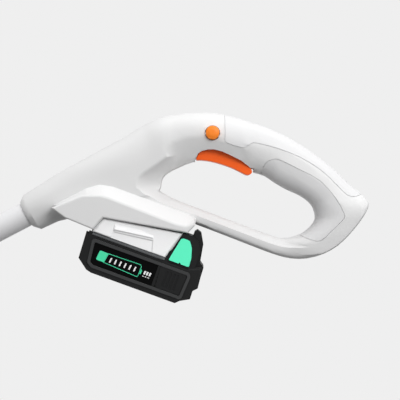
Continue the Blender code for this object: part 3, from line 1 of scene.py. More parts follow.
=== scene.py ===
"""Looks of a long-reach cordless hedge trimmer: a white D handle with an orange
trigger, a slide-on battery, a pale pole and a tilting head with two blades.

Sizes are in metres, apart from outlines and their depths, which are in
millimetres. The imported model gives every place, and each piece here rides on
its body. The handle's rear end faces +X and the near side is -Y.
"""
import json
import math

import bmesh
import bpy
from bpy.props import FloatProperty, FloatVectorProperty, PointerProperty
from mathutils import Matrix, Vector


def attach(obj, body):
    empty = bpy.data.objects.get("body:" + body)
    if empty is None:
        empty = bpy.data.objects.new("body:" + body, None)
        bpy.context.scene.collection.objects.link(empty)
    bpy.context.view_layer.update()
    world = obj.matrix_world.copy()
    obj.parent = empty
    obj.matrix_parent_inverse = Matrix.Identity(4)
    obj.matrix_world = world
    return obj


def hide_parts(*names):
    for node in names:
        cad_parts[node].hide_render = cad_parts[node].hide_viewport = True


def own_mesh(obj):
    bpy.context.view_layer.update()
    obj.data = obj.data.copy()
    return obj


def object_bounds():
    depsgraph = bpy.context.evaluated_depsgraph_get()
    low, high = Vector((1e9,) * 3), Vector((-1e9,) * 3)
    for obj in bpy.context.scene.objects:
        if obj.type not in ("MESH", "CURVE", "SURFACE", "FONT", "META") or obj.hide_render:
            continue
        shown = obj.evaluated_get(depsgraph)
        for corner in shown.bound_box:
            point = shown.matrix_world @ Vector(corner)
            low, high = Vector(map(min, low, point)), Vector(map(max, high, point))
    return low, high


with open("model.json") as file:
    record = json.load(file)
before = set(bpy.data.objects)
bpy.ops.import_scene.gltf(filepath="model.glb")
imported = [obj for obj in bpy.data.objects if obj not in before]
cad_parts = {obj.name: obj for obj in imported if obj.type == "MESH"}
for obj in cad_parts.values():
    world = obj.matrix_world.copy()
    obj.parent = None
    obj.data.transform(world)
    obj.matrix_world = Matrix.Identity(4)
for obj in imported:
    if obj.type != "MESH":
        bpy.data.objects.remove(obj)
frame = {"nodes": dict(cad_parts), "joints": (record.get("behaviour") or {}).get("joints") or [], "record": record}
CAD_BOX = [list(corner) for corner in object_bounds()]

bl_info = {
    "name": "Hedge Trimmer Looks",
    "version": (1, 0, 0),
    "blender": (4, 5, 0),
    "location": "View3D > Sidebar > Trimmer",
    "description": "Models and finishes a long-reach cordless hedge trimmer",
    "category": "Object",
}

NODES = frame["nodes"]
JOINTS = {joint["name"]: joint for joint in frame["joints"]}
BODY_OF = {
    node: body for body, nodes in frame["record"]["behaviour"]["bodies"].items() for node in nodes
}
MM = 0.001                     # outlines are written in millimetres
WELD = 0.00001                 # merges the loose corners of a copied solid
FLAT_ANGLE = math.radians(0.6)           # faces that meet at less become one
SMOOTH_ANGLE = math.radians(35)
CREASE = 40                    # degrees: edges sharper than this are rounded
MAX_REACH = 0.49               # share of a side that the arc at its corner may take
SHARPEST = 0.3                 # keeps the points of needle-sharp corners from flying off
CUT_PAST = 5.0                 # millimetres that a cutter reaches past what it cuts


# Tools for modelling

def pick(piece):
    """Leaves one piece selected and active."""
    bpy.ops.object.select_all(action="DESELECT")
    piece.select_set(True)
    bpy.context.view_layer.objects.active = piece


def apply_modifier(piece, kind, **settings):
    """Adds a modifier to a piece and applies it."""
    pick(piece)
    modifier = piece.modifiers.new(kind.title(), kind)
    for key, value in settings.items():
        setattr(modifier, key, value)
    bpy.ops.object.modifier_apply(modifier=modifier.name)


def smooth(piece):
    """Shades a piece smooth, apart from its sharp edges, with its flat faces kept flat."""
    pick(piece)
    bpy.ops.object.shade_smooth_by_angle(angle=SMOOTH_ANGLE)
    apply_modifier(piece, "WEIGHTED_NORMAL", mode="FACE_AREA", weight=50, keep_sharp=True)


def copy_of(node, name):
    """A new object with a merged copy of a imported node's mesh."""
    mesh = NODES[node].data.copy()
    mesh.materials.clear()
    mesh.name = name
    piece = bpy.data.objects.new(name, mesh)
    bpy.context.scene.collection.objects.link(piece)
    pick(piece)
    if mesh.has_custom_normals:
        bpy.ops.mesh.customdata_custom_splitnormals_clear()
    bpy.ops.object.mode_set(mode="EDIT")
    bpy.ops.mesh.select_all(action="SELECT")
    bpy.ops.mesh.remove_doubles(threshold=WELD)
    bpy.ops.mesh.dissolve_limited(angle_limit=FLAT_ANGLE)
    bpy.ops.object.mode_set(mode="OBJECT")
    return piece


def place(piece, body, slot, material, *nodes):
    """Gives a finished piece its material and its body, and hides the nodes it stands for. The slot is not used.
    """
    piece.data.materials.clear()
    piece.data.materials.append(material)
    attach(piece, body)
    if nodes:
        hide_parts(*nodes)


def rounded_copy(node, material, slot, radius, segments=3, crease=CREASE):
    """A copy of a node with its sharp edges rounded off, in place of the node."""
    piece = copy_of(node, node + "_looks")
    soften(piece, radius, segments, crease)
    place(piece, BODY_OF[node], slot, material, node)


def rounded(outline, radius, steps=5):
    """An outline's points, each corner turned into an arc. A radius per corner is a list."""
    radii = radius if isinstance(radius, (list, tuple)) else [radius] * len(outline)
    made = []
    for k, corner in enumerate(outline):
        here = Vector(corner)
        before = Vector(outline[k - 1]) - here
        after = Vector(outline[(k + 1) % len(outline)]) - here
        if radii[k] <= 0:
            made.append(tuple(here))
            continue
        half = before.angle(after) / 2
        reach = min(radii[k] / math.tan(half), before.length * MAX_REACH, after.length * MAX_REACH)
        middle = here + (before.normalized() + after.normalized()).normalized() * (reach / math.cos(half))
        first = here + before.normalized() * reach - middle
        last = here + after.normalized() * reach - middle
        sweep = first.angle_signed(last)
        for step in range(steps + 1):
            turn = Matrix.Rotation(-sweep * step / steps, 2)
            made.append(tuple(middle + turn @ first))
    return made


def flowing(points, steps):
    """A closed smooth curve through the points, with this many steps from one to the next."""
    made = []
    count = len(points)
    for k in range(count):
        a, b, c, d = (Vector(points[(k + shift) % count]) for shift in (-1, 0, 1, 2))
        for step in range(steps):
            t = step / steps
            made.append(tuple(
                (b * 2 + (c - a) * t + (a * 2 - b * 5 + c * 4 - d) * t * t
                 + (b * 3 - a - c * 3 + d) * t * t * t) / 2
            ))
    return made


def grown(outline, amount):
    """An outline moved outwards, or inwards where the amount is below nothing."""
    area = sum(a[0] * b[1] - b[0] * a[1] for a, b in zip(outline, outline[1:] + outline[:1]))
    sign = 1.0 if area > 0 else -1.0
    made = []
    for k, corner in enumerate(outline):
        here = Vector(corner)
        inward = (here - Vector(outline[k - 1])).normalized()
        onward = (Vector(outline[(k + 1) % len(outline)]) - here).normalized()
        normal = Vector((inward.y + onward.y, -inward.x - onward.x)) * sign
        made.append(tuple(here + normal * (amount / max(SHARPEST, normal.length_squared / 2))))
    return made


def circle(radius, sides):
    """The outline of a round, or of a regular polygon, about the middle."""
    turns = [math.tau * k / sides for k in range(sides)]
    return [(radius * math.sin(turn), radius * math.cos(turn)) for turn in turns]


def shifted(outline, across):
    """An outline moved sideways."""
    return [(x + across, up) for x, up in outline]


def span(side, inner, outer):
    """Two distances from the middle on one side, as depths in rising order."""
    return sorted((side * inner, side * outer))


def plate(name, outline, low, high, matrix=None, taper=0.0):
    """An outline in millimetres pulled from one depth to another, and drawn in there by the taper."""
    bpy.ops.object.select_all(action="DESELECT")
    bpy.ops.mesh.primitive_circle_add(vertices=len(outline), radius=1.0, fill_type="NGON")
    piece = bpy.context.object
    piece.name = piece.data.name = name
    for vertex, (across, up) in zip(piece.data.vertices, outline):
        vertex.co = (across * MM, low * MM, up * MM)
    bpy.ops.object.mode_set(mode="EDIT")
    bpy.ops.mesh.select_all(action="SELECT")
    bpy.ops.mesh.extrude_region_move(TRANSFORM_OT_translate={"value": (0.0, (high - low) * MM, 0.0)})
    bpy.ops.mesh.select_all(action="SELECT")
    bpy.ops.mesh.normals_make_consistent(inside=False)
    bpy.ops.object.mode_set(mode="OBJECT")
    if taper:
        for vertex, (across, up) in zip(piece.data.vertices[len(outline):], grown(outline, -taper)):
            vertex.co = (across * MM, high * MM, up * MM)
    if matrix:
        piece.data.transform(matrix)
    return piece


def ring(name, outline, width, low, high, matrix=None, radius=0.0):
    """A frame of one width inside an outline in millimetres, with rounded corners."""
    piece = plate(name, rounded(outline, radius), low, high)
    window = rounded(grown(outline, -width), max(0.0, radius - width * 0.5))
    carve(piece, plate(name + "_window", window, low - CUT_PAST, high + CUT_PAST))
    if matrix:
        piece.data.transform(matrix)
    return piece


def carve(piece, cutter, operation="DIFFERENCE"):
    """Takes the cutter's shape out of a piece, or keeps only what lies inside it."""
    apply_modifier(piece, "BOOLEAN", operation=operation, solver="EXACT", object=cutter)
    bpy.data.objects.remove(cutter)


def repeated(piece, count, shift):
    """A row of copies of a piece, each moved on from the last by the shift in metres."""
    apply_modifier(
        piece, "ARRAY", count=count, use_relative_offset=False, use_constant_offset=True,
        constant_offset_displace=shift,
    )


def bevel_where(piece, wanted, width, segments, clamp):
    """Rounds the edges that a test wants."""
    pick(piece)
    bpy.ops.object.mode_set(mode="EDIT")
    mesh = bmesh.from_edit_mesh(piece.data)
    for edge in mesh.edges:
        edge.select_set(edge.is_manifold and wanted(edge))
    bmesh.update_edit_mesh(piece.data)
    bpy.ops.mesh.bevel(offset=width, segments=segments, clamp_overlap=clamp)
    bpy.ops.object.mode_set(mode="OBJECT")


def soften(piece, radius, segments=3, crease=CREASE):
    """Rounds a piece's sharp edges and shades it smooth."""
    apply_modifier(
        piece, "BEVEL", width=radius, segments=segments, limit_method="ANGLE",
        angle_limit=math.radians(crease), use_clamp_overlap=True, harden_normals=False,
    )
    smooth(piece)


def joined(name, *pieces):
    """Several pieces made one object."""
    bpy.ops.object.select_all(action="DESELECT")
    for piece in pieces:
        piece.select_set(True)
    bpy.context.view_layer.objects.active = pieces[0]
    bpy.ops.object.join()
    pieces[0].name = pieces[0].data.name = name
    return pieces[0]


# Tools for materials

CLOUD_SIZE = 0.03              # metres, the broad unevenness of a plastic's colour
CLOUD_DETAIL = 2.0
GRAIN_DETAIL = 4.0
GLOSS_SPREAD = 0.1             # how far the grain moves the roughness in all
SCRATCH_SIZE = 0.0012
SCRATCH_DETAIL = 5.0
SCRATCH_BREAKS = 0.7           # how rough the scratches' noise is
SCRATCH_STRETCH = 40.0
SCRATCH_DEPTH = 0.00002
SCRATCH_GLOSS = 0.1            # how far scratches and clouds move a metal's roughness
CLOUD_GLOSS = 0.08
METAL_GLOSS = 0.06             # what their middle adds, taken off again
METAL_CLOUD = 0.02
METAL_SHADES = (0.9, 1.08)


class Value:
    """One output of a shader node. A sum written with it adds the Math nodes."""

    def __init__(self, finish, socket):
        self.finish = finish
        self.socket = socket

    def maths(self, operation, *terms):
        return self.finish.node("ShaderNodeMath", {"operation": operation}, dict(enumerate(terms)))

    def __add__(self, other):
        return self.maths("ADD", self, other)

    def __mul__(self, other):
        return self.maths("MULTIPLY", self, other)

    __radd__ = __add__


class Finish:
    """A material or a world in the making. Patterns read the piece's own coordinates, in metres."""

    def __init__(self, name, world=None):
        self.material = world or bpy.data.materials.new(name)
        self.material.use_nodes = True
        self.nodes = self.material.node_tree.nodes
        self.links = self.material.node_tree.links
        if not world:
            self.shader = self.nodes["Principled BSDF"]
            self.place = self.node("ShaderNodeTexCoord", output="Object")

    def node(self, kind, settings=None, inputs=None, output=0):
        """Adds a node with its settings, then the values or links of its sockets."""
        node = self.nodes.new(kind)
        for key, value in (settings or {}).items():
            setattr(node, key, value)
        for key, value in (inputs or {}).items():
            self.feed(node.inputs[key], value)
        return Value(self, node.outputs[output])

    def feed(self, socket, value):
        """Links a socket to a value, or sets it."""
        if isinstance(value, Value):
            self.links.new(value.socket, socket)
        else:
            socket.default_value = value

    def maximum(self, first, second):
        """The greater of two values."""
        return first.maths("MAXIMUM", first, second)

    def seen(self):
        """One for rays that show the stage to the camera, also through gloss and glass."""
        rays = self.nodes.new("ShaderNodeLightPath")
        straight, glossy, through = (
            Value(self, rays.outputs[key])
            for key in ("Is Camera Ray", "Is Glossy Ray", "Is Transmission Ray")
        )
        return self.maximum(self.maximum(straight, glossy), through)

    def noise(self, size, detail, roughness=0.55, vector=None):
        """Cloudy grain of a size in metres."""
        return self.node(
            "ShaderNodeTexNoise", None,
            {"Vector": vector or self.place, "Scale": 1.0 / size, "Detail": detail, "Roughness": roughness},
        )

    def blend(self, factor, first, second):
        """One colour turning into another."""
        return self.node(
            "ShaderNodeMix", {"data_type": "RGBA"}, {"Factor": factor, 6: first, 7: second}, output=2
        )

    def parts(self, vector):
        """The three values of a vector."""
        node = self.nodes.new("ShaderNodeSeparateXYZ")
        self.feed(node.inputs[0], vector)
        return [Value(self, output) for output in node.outputs]

    def surface(self, **sockets):
        """Sets sockets of the main shader, with spaces written as underscores."""
        for key, value in sockets.items():
            self.feed(self.shader.inputs[key.replace("_", " ")], value)

    def relief(self, height, depth):
        """Bumps the surface by a height from 0 to 1, this deep in metres."""
        bump = self.node("ShaderNodeBump", None, {"Height": height, "Distance": depth, "Strength": 1.0})
        self.surface(Normal=bump)


def shade_of(colour, factor):
    """A colour made lighter or darker, kept between black and white."""
    return tuple(min(1.0, max(0.0, part * factor)) for part in colour[:3]) + (1.0,)


def moulded(name, colour, roughness, grain, depth, spread, shine):
    """Moulded plastic: fine eroded grain, slightly uneven gloss and colour."""
    finish = Finish(name)
    cloud = finish.noise(CLOUD_SIZE, CLOUD_DETAIL)
    fine = finish.noise(grain, GRAIN_DETAIL)
    tint = finish.blend(cloud, shade_of(colour, 1 - spread), shade_of(colour, 1 + spread))
    finish.surface(
        Base_Color=tint, Roughness=fine * GLOSS_SPREAD + (roughness - GLOSS_SPREAD / 2),
        Specular_IOR_Level=shine,
    )
    finish.relief(fine, depth)
    return finish.material


def bare_metal(name, colour, roughness):
    """Ground metal: long fine scratches along X."""
    finish = Finish(name)
    scaled = finish.node(
        "ShaderNodeVectorMath", {"operation": "MULTIPLY"},
        {0: finish.place, 1: (1.0 / SCRATCH_STRETCH, 1.0, 1.0)},
    )
    lines = finish.noise(SCRATCH_SIZE, SCRATCH_DETAIL, SCRATCH_BREAKS, scaled)
    cloud = finish.noise(METAL_CLOUD, CLOUD_DETAIL)
    finish.surface(
        Base_Color=finish.blend(lines, *(shade_of(colour, share) for share in METAL_SHADES)), Metallic=1.0,
        Roughness=roughness - METAL_GLOSS + lines * SCRATCH_GLOSS + cloud * CLOUD_GLOSS,
    )
    finish.relief(lines, SCRATCH_DEPTH)
    return finish.material


# Sizes and colours that a user would change

def colour_choice(name, description, default):
    """A colour, written in linear light."""
    return FloatVectorProperty(
        name=name, description=description, default=default, size=3, min=0.0, max=1.0, subtype="COLOR"
    )


def length_choice(name, description, default):
    """A length in metres."""
    return FloatProperty(name=name, description=description, default=default, min=0.0, unit="LENGTH")


class TrimmerColours(bpy.types.PropertyGroup):
    """Colours of the trimmer's plastics, foam and metals."""

    body: colour_choice("Body", "Moulded handle and head", (0.69, 0.69, 0.69))
    covers: colour_choice("Covers", "Top cover and grip insert", (0.685, 0.685, 0.69))
    # the shell's own white, raised above the body's as painted light that lifts the shade under the dock's
    # overhang
    shell: colour_choice("Shell", "Battery's upper shell", (0.93, 0.93, 0.935))
    accent: colour_choice("Accent", "Trigger and latch buttons", (1.0, 0.125, 0.006))
    side_button: colour_choice("Side button", "Lock-off button", (1.0, 0.25, 0.023))
    release: colour_choice("Release", "Battery's release buttons", (0.10, 0.93, 0.56))
    label: colour_choice("Label mark", "Marks on the battery's panel", (0.05, 0.72, 0.38))
    dark: colour_choice("Dark plastic", "Battery's lower shell", (0.007, 0.0073, 0.0076))
    gloss: colour_choice("Gloss panel", "Battery's side panels", (0.0012, 0.0012, 0.0013))
    foam: colour_choice("Foam", "Sleeve on the pole", (0.022, 0.022, 0.024))
    pole: colour_choice("Pole", "Painted tube", (0.72, 0.72, 0.73))
    steel: colour_choice("Steel", "Blades, bar and screws", (0.56, 0.57, 0.58))
    backdrop: colour_choice("Backdrop", "Background as the camera sees it", (0.863, 0.863, 0.863))


class TrimmerSizes(bpy.types.PropertyGroup):
    """Roundings and reliefs of the trimmer's pieces."""

    housing_edge: length_choice("Housing edge", "Rounding of the housing's edges", 0.0006)
    scoop_edge: length_choice("Scoop edge", "Rounding of the border round the thumb scoop", 0.002)
    seam_edge: length_choice("Seam edge", "Rounding of the covers along their seams", 0.0011)
    dock_edge: length_choice("Dock edge", "Rounding of the dock's side rims", 0.0022)
    button_edge: length_choice("Button edge", "Rounding of buttons and trigger", 0.0008)
    shell_edge: length_choice("Shell edge", "Rounding of the battery's edges", 0.0006)
    metal_edge: length_choice("Metal edge", "Rounding of metal edges", 0.0003)
    camera_distance: length_choice("Camera distance", "From the camera to the tool's middle plane", 1.1)


def colours():
    return bpy.context.scene.trimmer_colours


def sizes():
    return bpy.context.scene.trimmer_sizes


# Stage

CAMERA_LENS = 110.0            # millimetres, on a 36 mm sensor
CAMERA_AIM = Vector((0.062, 0.0, 0.076))
CAMERA_REACH = 50.0
FLOOR_REACH = 2.0
FLOOR_SIDES = 96
FLOOR_DROP = 0.0005            # below the object's lowest point
FLOOR_PALE = (0.15, 0.16)      # share of the backdrop's colour that the floor takes light with
FLOOR_GLOW = 0.75              # share of it that the floor shows by itself
FLOOR_CLOUD = 0.4
FLOOR_HIDDEN = (0.1, 0.1, 0.1, 1.0)      # its colour for the light that it throws back
SKY_SLOPE = 0.7                # the soft light's strength grows with height, from its level at eye height
SKY_LEVEL = 0.56
SKY_LEAST = 0.05
BLACK = (0.0, 0.0, 0.0, 1.0)
LAMPS = {                      # place, size across and power
    "key_lamp": ((0.5, -0.6, 2.5), 2.2, 25.0),
    "fill_lamp": ((1.3, -2.4, 1.1), 1.4, 41.0),
}


class TRIMMER_OT_stage(bpy.types.Operator):
    """Adds the floor, the backdrop, the lamps and the camera."""

    bl_idname = "trimmer.stage"
    bl_label = "Stage"

    def execute(self, context):
        bpy.ops.object.select_all(action="DESELECT")
        self.add_floor()
        self.add_backdrop(context.scene)
        for name, (spot, size, power) in LAMPS.items():
            self.add_lamp(name, spot, size, power)
        camera = bpy.data.objects.new("camera", bpy.data.cameras.new("camera"))
        context.scene.collection.objects.link(camera)
        camera.data.lens = CAMERA_LENS
        camera.data.clip_end = CAMERA_REACH
        camera.location = CAMERA_AIM + Vector((0.0, -sizes().camera_distance, 0.0))
        camera.rotation_euler = (math.radians(90), 0.0, 0.0)
        context.scene.camera = camera
        context.scene.view_settings.view_transform = "Standard"
        return {"FINISHED"}

    def add_floor(self):
        """A pale floor that throws little light back up under the object."""
        lowest = CAD_BOX[0][2]
        bpy.ops.mesh.primitive_circle_add(
            vertices=FLOOR_SIDES, radius=FLOOR_REACH, fill_type="NGON",
            location=(CAMERA_AIM.x, 0.0, lowest - FLOOR_DROP),
        )
        floor = bpy.context.object
        floor.name = "floor"
        backdrop = colours().backdrop
        finish = Finish("floor_paint")
        cloud = finish.noise(FLOOR_CLOUD, CLOUD_DETAIL)
        pale = finish.blend(cloud, shade_of(backdrop, FLOOR_PALE[0]), shade_of(backdrop, FLOOR_PALE[1]))
        seen = finish.seen()
        finish.surface(
            Base_Color=finish.blend(seen, FLOOR_HIDDEN, pale), Roughness=0.9, Emission_Strength=1.0,
            Emission_Color=finish.blend(seen, BLACK, shade_of(backdrop, FLOOR_GLOW)),
        )
        floor.data.materials.append(finish.material)

    def add_backdrop(self, scene):
        """A plain backdrop for the camera, and soft light that falls from above."""
        world = bpy.data.worlds.new("backdrop")
        scene.world = world
        world.use_nodes = True
        light = Finish("backdrop", world)
        up = light.parts(light.node("ShaderNodeTexCoord", output="Generated"))[2]
        strength = light.maximum(up * SKY_SLOPE + SKY_LEVEL, SKY_LEAST)
        soft = light.node("ShaderNodeBackground", None, {"Strength": strength})
        plain = light.node("ShaderNodeBackground", None, {"Color": (*colours().backdrop, 1.0)})
        mix = light.node("ShaderNodeMixShader", None, {0: light.seen(), 1: soft, 2: plain})
        light.feed(light.nodes["World Output"].inputs["Surface"], mix)

    def add_lamp(self, name, spot, size, power):
        """A round soft lamp aimed at the handle."""
        lamp = bpy.data.objects.new(name, bpy.data.lights.new(name, "AREA"))
        bpy.context.scene.collection.objects.link(lamp)
        lamp.data.shape = "DISK"
        lamp.data.size = size
        lamp.data.energy = power
        lamp.location = spot
        lamp.rotation_euler = (CAMERA_AIM - Vector(spot)).to_track_quat("-Z", "Y").to_euler()


# Finishes that several pieces share

FINISHES = {}

# Plastics by slot: material, colour (one of TrimmerColours, or in linear light) and the share of it,
# roughness, size and depth of the grain in metres, unevenness of the colour, and shine
PLASTICS = {
    "white": ("body_white", "body", 1.0, 0.46, 0.0007, 0.00003, 0.015, 0.5),
    "pale": ("cover_pale", "covers", 1.0, 0.5, 0.0005, 0.00004, 0.015, 0.5),
    # the shell's white is paler than the body's as painted light, lifting the shade under the dock's overhang
    "shell": ("shell_pale", "shell", 1.0, 0.5, 0.0005, 0.00004, 0.015, 0.5),
    "orange": ("accent_orange", "accent", 1.0, 0.38, 0.0006, 0.00002, 0.04, 0.25),
    "side_button": ("side_button_orange", "side_button", 1.0, 0.42, 0.0006, 0.00002, 0.04, 0.25),
    "mint": ("release_mint", "release", 1.0, 0.42, 0.0006, 0.00002, 0.04, 0.5),
    "black": ("shell_black", "dark", 1.0, 0.5, 0.0005, 0.00005, 0.12, 0.16),
    # the rim is the lower shell's black plastic made lighter: a painted highlight on its rounded edge
    "rim": ("rim_black", "dark", 2.8, 0.36, 0.0006, 0.00002, 0.08, 0.4),
    # the ridge is the dark plastic made light grey: painted highlights on its rounded teeth
    "ridge": ("ridge_grey", "dark", 18.0, 0.4, 0.0006, 0.00002, 0.1, 0.4),
    "mark_green": ("mark_green", "label", 1.0, 0.5, 0.001, 0.000002, 0.04, 0.5),
    "mark_white": ("mark_white", (0.85, 0.86, 0.86), 1.0, 0.5, 0.001, 0.000002, 0.04, 0.5),
    "label": ("panel_gloss", "gloss", 1.0, 0.2, 0.002, 0.000004, 0.1, 0.05),
    "foam": ("sleeve_foam", "foam", 1.0, 0.85, 0.0011, 0.0002, 0.3, 0.2),
    "pole": ("pole_paint", "pole", 1.0, 0.3, 0.0004, 0.00001, 0.01, 0.5),
    "cable": ("cable_black", "dark", 1.0, 0.6, 0.0008, 0.00003, 0.15, 0.5),
    "cell": ("cell_wrap", (0.02, 0.024, 0.03), 1.0, 0.35, 0.001, 0.00001, 0.05, 0.5),
    "board": ("board_green", (0.015, 0.12, 0.045), 1.0, 0.45, 0.0008, 0.00003, 0.1, 0.5),
}

# Metals by slot: material, colour and roughness
METALS = {
    "steel": ("ground_steel", "steel", 0.3),
    "motor": ("motor_steel", (0.42, 0.43, 0.44), 0.36),
    "brass": ("contact_brass", (0.75, 0.55, 0.22), 0.3),
}


class TRIMMER_OT_finishes(bpy.types.Operator):
    """Mixes the materials."""

    bl_idname = "trimmer.finishes"
    bl_label = "Finishes"

    def execute(self, context):
        for slot, (name, colour, share, *qualities) in PLASTICS.items():
            FINISHES[slot] = moulded(name, shade_of(self.tint(colour), share), *qualities)
        for slot, (name, colour, roughness) in METALS.items():
            FINISHES[slot] = bare_metal(name, self.tint(colour), roughness)
        return {"FINISHED"}

    def tint(self, colour):
        """A colour that the user can choose, where it is a name."""
        return getattr(colours(), colour) if isinstance(colour, str) else colour


# Pieces

DOCK_SIDE = 0.0326             # the dock's side walls lie beyond this, either way of the middle
DOCK_CREASE = math.radians(15)
SCOOP_SIDE = 0.0218            # the scoop's border with the flank lies beyond this, within the next four
SCOOP_LEFT = 0.004
SCOOP_RIGHT = 0.033
SCOOP_LOW = 0.086
SCOOP_HIGH = 0.118
SCOOP_CREASE = math.radians(36)
SEAM_CREASE = 50               # degrees: sharper edges of the covers are seams


class TRIMMER_OT_housing(bpy.types.Operator):
    """Dresses the handle's two halves, the top cover and the grip insert."""

    bl_idname = "trimmer.housing"
    bl_label = "Housing"

    def execute(self, context):
        edge = sizes().housing_edge
        for half in ("housing_left", "housing_right"):
            piece = copy_of(half, half + "_looks")
            self.round_dock(piece)
            self.round_scoop(piece)
            soften(piece, edge)
            place(piece, BODY_OF[half], "white", FINISHES["white"], half)
        for cover in ("top_cover", "grip_insert"):
            rounded_copy(cover, FINISHES["pale"], "pale", sizes().seam_edge, segments=4, crease=SEAM_CREASE)
        return {"FINISHED"}

    def round_scoop(self, piece):
        """Works the border between the flank and the scoop soft."""
        def on_border(edge):
            middle = (edge.verts[0].co + edge.verts[1].co) / 2
            return (all(abs(vertex.co.y) > SCOOP_SIDE for vertex in edge.verts)
                    and SCOOP_LEFT < middle.x < SCOOP_RIGHT and SCOOP_LOW < middle.z < SCOOP_HIGH
                    and edge.calc_face_angle() > SCOOP_CREASE)
        bevel_where(piece, on_border, sizes().scoop_edge, segments=6, clamp=False)

    def round_dock(self, piece):
        """Gives the rim of the dock's side wall its broad rounding."""
        def on_rim(edge):
            return (all(abs(vertex.co.y) > DOCK_SIDE for vertex in edge.verts)
                    and edge.calc_face_angle() > DOCK_CREASE)
        bevel_where(piece, on_rim, sizes().dock_edge, segments=5, clamp=True)


# Side views, across and up: the trigger's curved blade, and what stays of the solid as its arm
TRIGGER = [
    (58.5, 112.2), (60.6, 117.4), (63.6, 122.0), (68.0, 124.6), (75.0, 124.4), (83.0, 121.5), (91.5, 117.4),
    (99.2, 112.4), (104.8, 107.6), (107.6, 103.6), (108.4, 100.9), (106.8, 98.8), (104.4, 98.2),
    (101.4, 99.2), (95.5, 102.3), (88.0, 105.6), (80.0, 108.3), (71.5, 110.5), (63.5, 111.6), (60.0, 111.6),
]
ARM_AREA = [(55, 123.0), (55, 135), (112, 135), (112, 112), (96, 116.5), (84, 121.5)]
BLADE_SIDE = 10.95             # the blade's two sides lie this far from the middle
BLADE_EDGE = 0.005
ARM_EDGE = 0.4                 # share of the buttons' rounding
ARM_HALF = 20                  # more than the arm's half width
DOME_STEPS = ((0.0014, 0.0005), (0.0014, 0.0003))      # inset and height of the lock-off button's steps
LEVEL = 0.00005                # metres, for what counts as the same height


class TRIMMER_OT_trigger(bpy.types.Operator):
    """Models the trigger and the lock-off button, and dresses the tilt lock's button."""

    bl_idname = "trimmer.trigger"
    bl_label = "Trigger and buttons"

    def execute(self, context):
        edge = sizes().button_edge
        blade = plate("trigger_looks", flowing(TRIGGER, steps=3), -BLADE_SIDE, BLADE_SIDE)
        soften(blade, BLADE_EDGE, segments=8)
        arm = copy_of("trigger", "trigger_arm")
        carve(arm, plate("keep", ARM_AREA, -ARM_HALF, ARM_HALF), operation="INTERSECT")
        soften(arm, edge * ARM_EDGE)
        place(arm, BODY_OF["trigger"], "orange", FINISHES["orange"])
        place(blade, BODY_OF["trigger"], "orange", FINISHES["orange"], "trigger")
        button = copy_of("lock_off_button", "lock_off_button_looks")
        self.dome(button)
        soften(button, edge)
        place(button, BODY_OF["lock_off_button"], "orange", FINISHES["side_button"], "lock_off_button")
        rounded_copy("tilt_lock_button", FINISHES["orange"], "orange", edge)
        return {"FINISHED"}

    def dome(self, button):
        """Raises the middle of the button's two flat ends a little."""
        pick(button)
        ends = max(abs(vertex.co.y) for vertex in button.data.vertices) - LEVEL
        bpy.ops.object.mode_set(mode="EDIT")
        mesh = bmesh.from_edit_mesh(button.data)
        for face in mesh.faces:
            face.select_set(all(abs(vertex.co.y) > ends for vertex in face.verts))
        bmesh.update_edit_mesh(button.data)
        for inset, height in DOME_STEPS:
            bpy.ops.mesh.inset(thickness=inset, depth=height)
        bpy.ops.object.mode_set(mode="OBJECT")


# The battery's own directions: along its slide and up from its base. Depths run from the middle to one side.
PACK_TILT = math.radians(20)
PACK = Matrix.Rotation(PACK_TILT, 4, "Y")

SHELL_AREA = [(-30.6, 29.0), (-30.0, 40.9), (5.9, 45.6), (10.6, 29.0)]
SHELL_BAND = [(-31.0, 40.4), (7.2, 45.4), (6.2, 53.0), (-32.0, 48.0)]
SHELL_SIDE = 29.6              # past the shell's own side
AREA_FLOOR = 28.5              # the shell's wall is only 1.2 thick
AREA_TAPER = 1.0               # sunk areas narrow by this on their way in
BAND_START = AREA_FLOOR + 0.1
BAND_FACE = 31.2
BAND_TAPER = 2.3
LEAN_FROM = 0.0045             # metres above the band's lower edge where the lean starts
LEAN_OVER = 0.006
LEAN = 0.0022
SHELL_CORE = 0.03              # what lies further out leans
BAND_EDGE = 0.0004

PANEL = [(-41.2, 26.4), (17.3, 26.4), (19.0, 7.4), (-39.2, 7.4)]
PANEL_FACE = 30.6
PANEL_DEPTH = 0.7
PANEL_CORNER = 1.6
PANEL_EDGE = 0.0002
FRAME = [(-44.6, 29.4), (45.5, 29.4), (47.6, 26.0), (46.4, 6.6), (44.4, 4.6), (-37.0, 4.6), (-42.0, 7.6)]
FRAME_FACE = 32.2
FRAME_WIDTH = 2.7
FRAME_CORNER = 2.4
FRAME_EDGE = 0.0012
CASE_FACE = 29.6               # rims and pads start inside the lower shell
PAD = [(19.6, 26.6), (44.2, 26.6), (43.2, 7.6), (21.2, 7.6)]
PAD_FACE = FRAME_FACE - 0.45
PAD_CORNER = 1.2
PAD_EDGE = 0.0003
PAD_GROOVE = [(26.4, 24.4), (27.9, 24.4), (27.5, 10.0), (26.0, 10.0)]
PAD_GROOVE_DEPTHS = (PAD_FACE - 0.5, FRAME_FACE + 0.8)
PAD_GROOVE_CORNER = 0.6
PAD_GROOVE_PITCH = 3.4
PAD_GROOVES = 4

MARK_DEPTHS = (PANEL_FACE - 0.1, PANEL_FACE + 0.06)

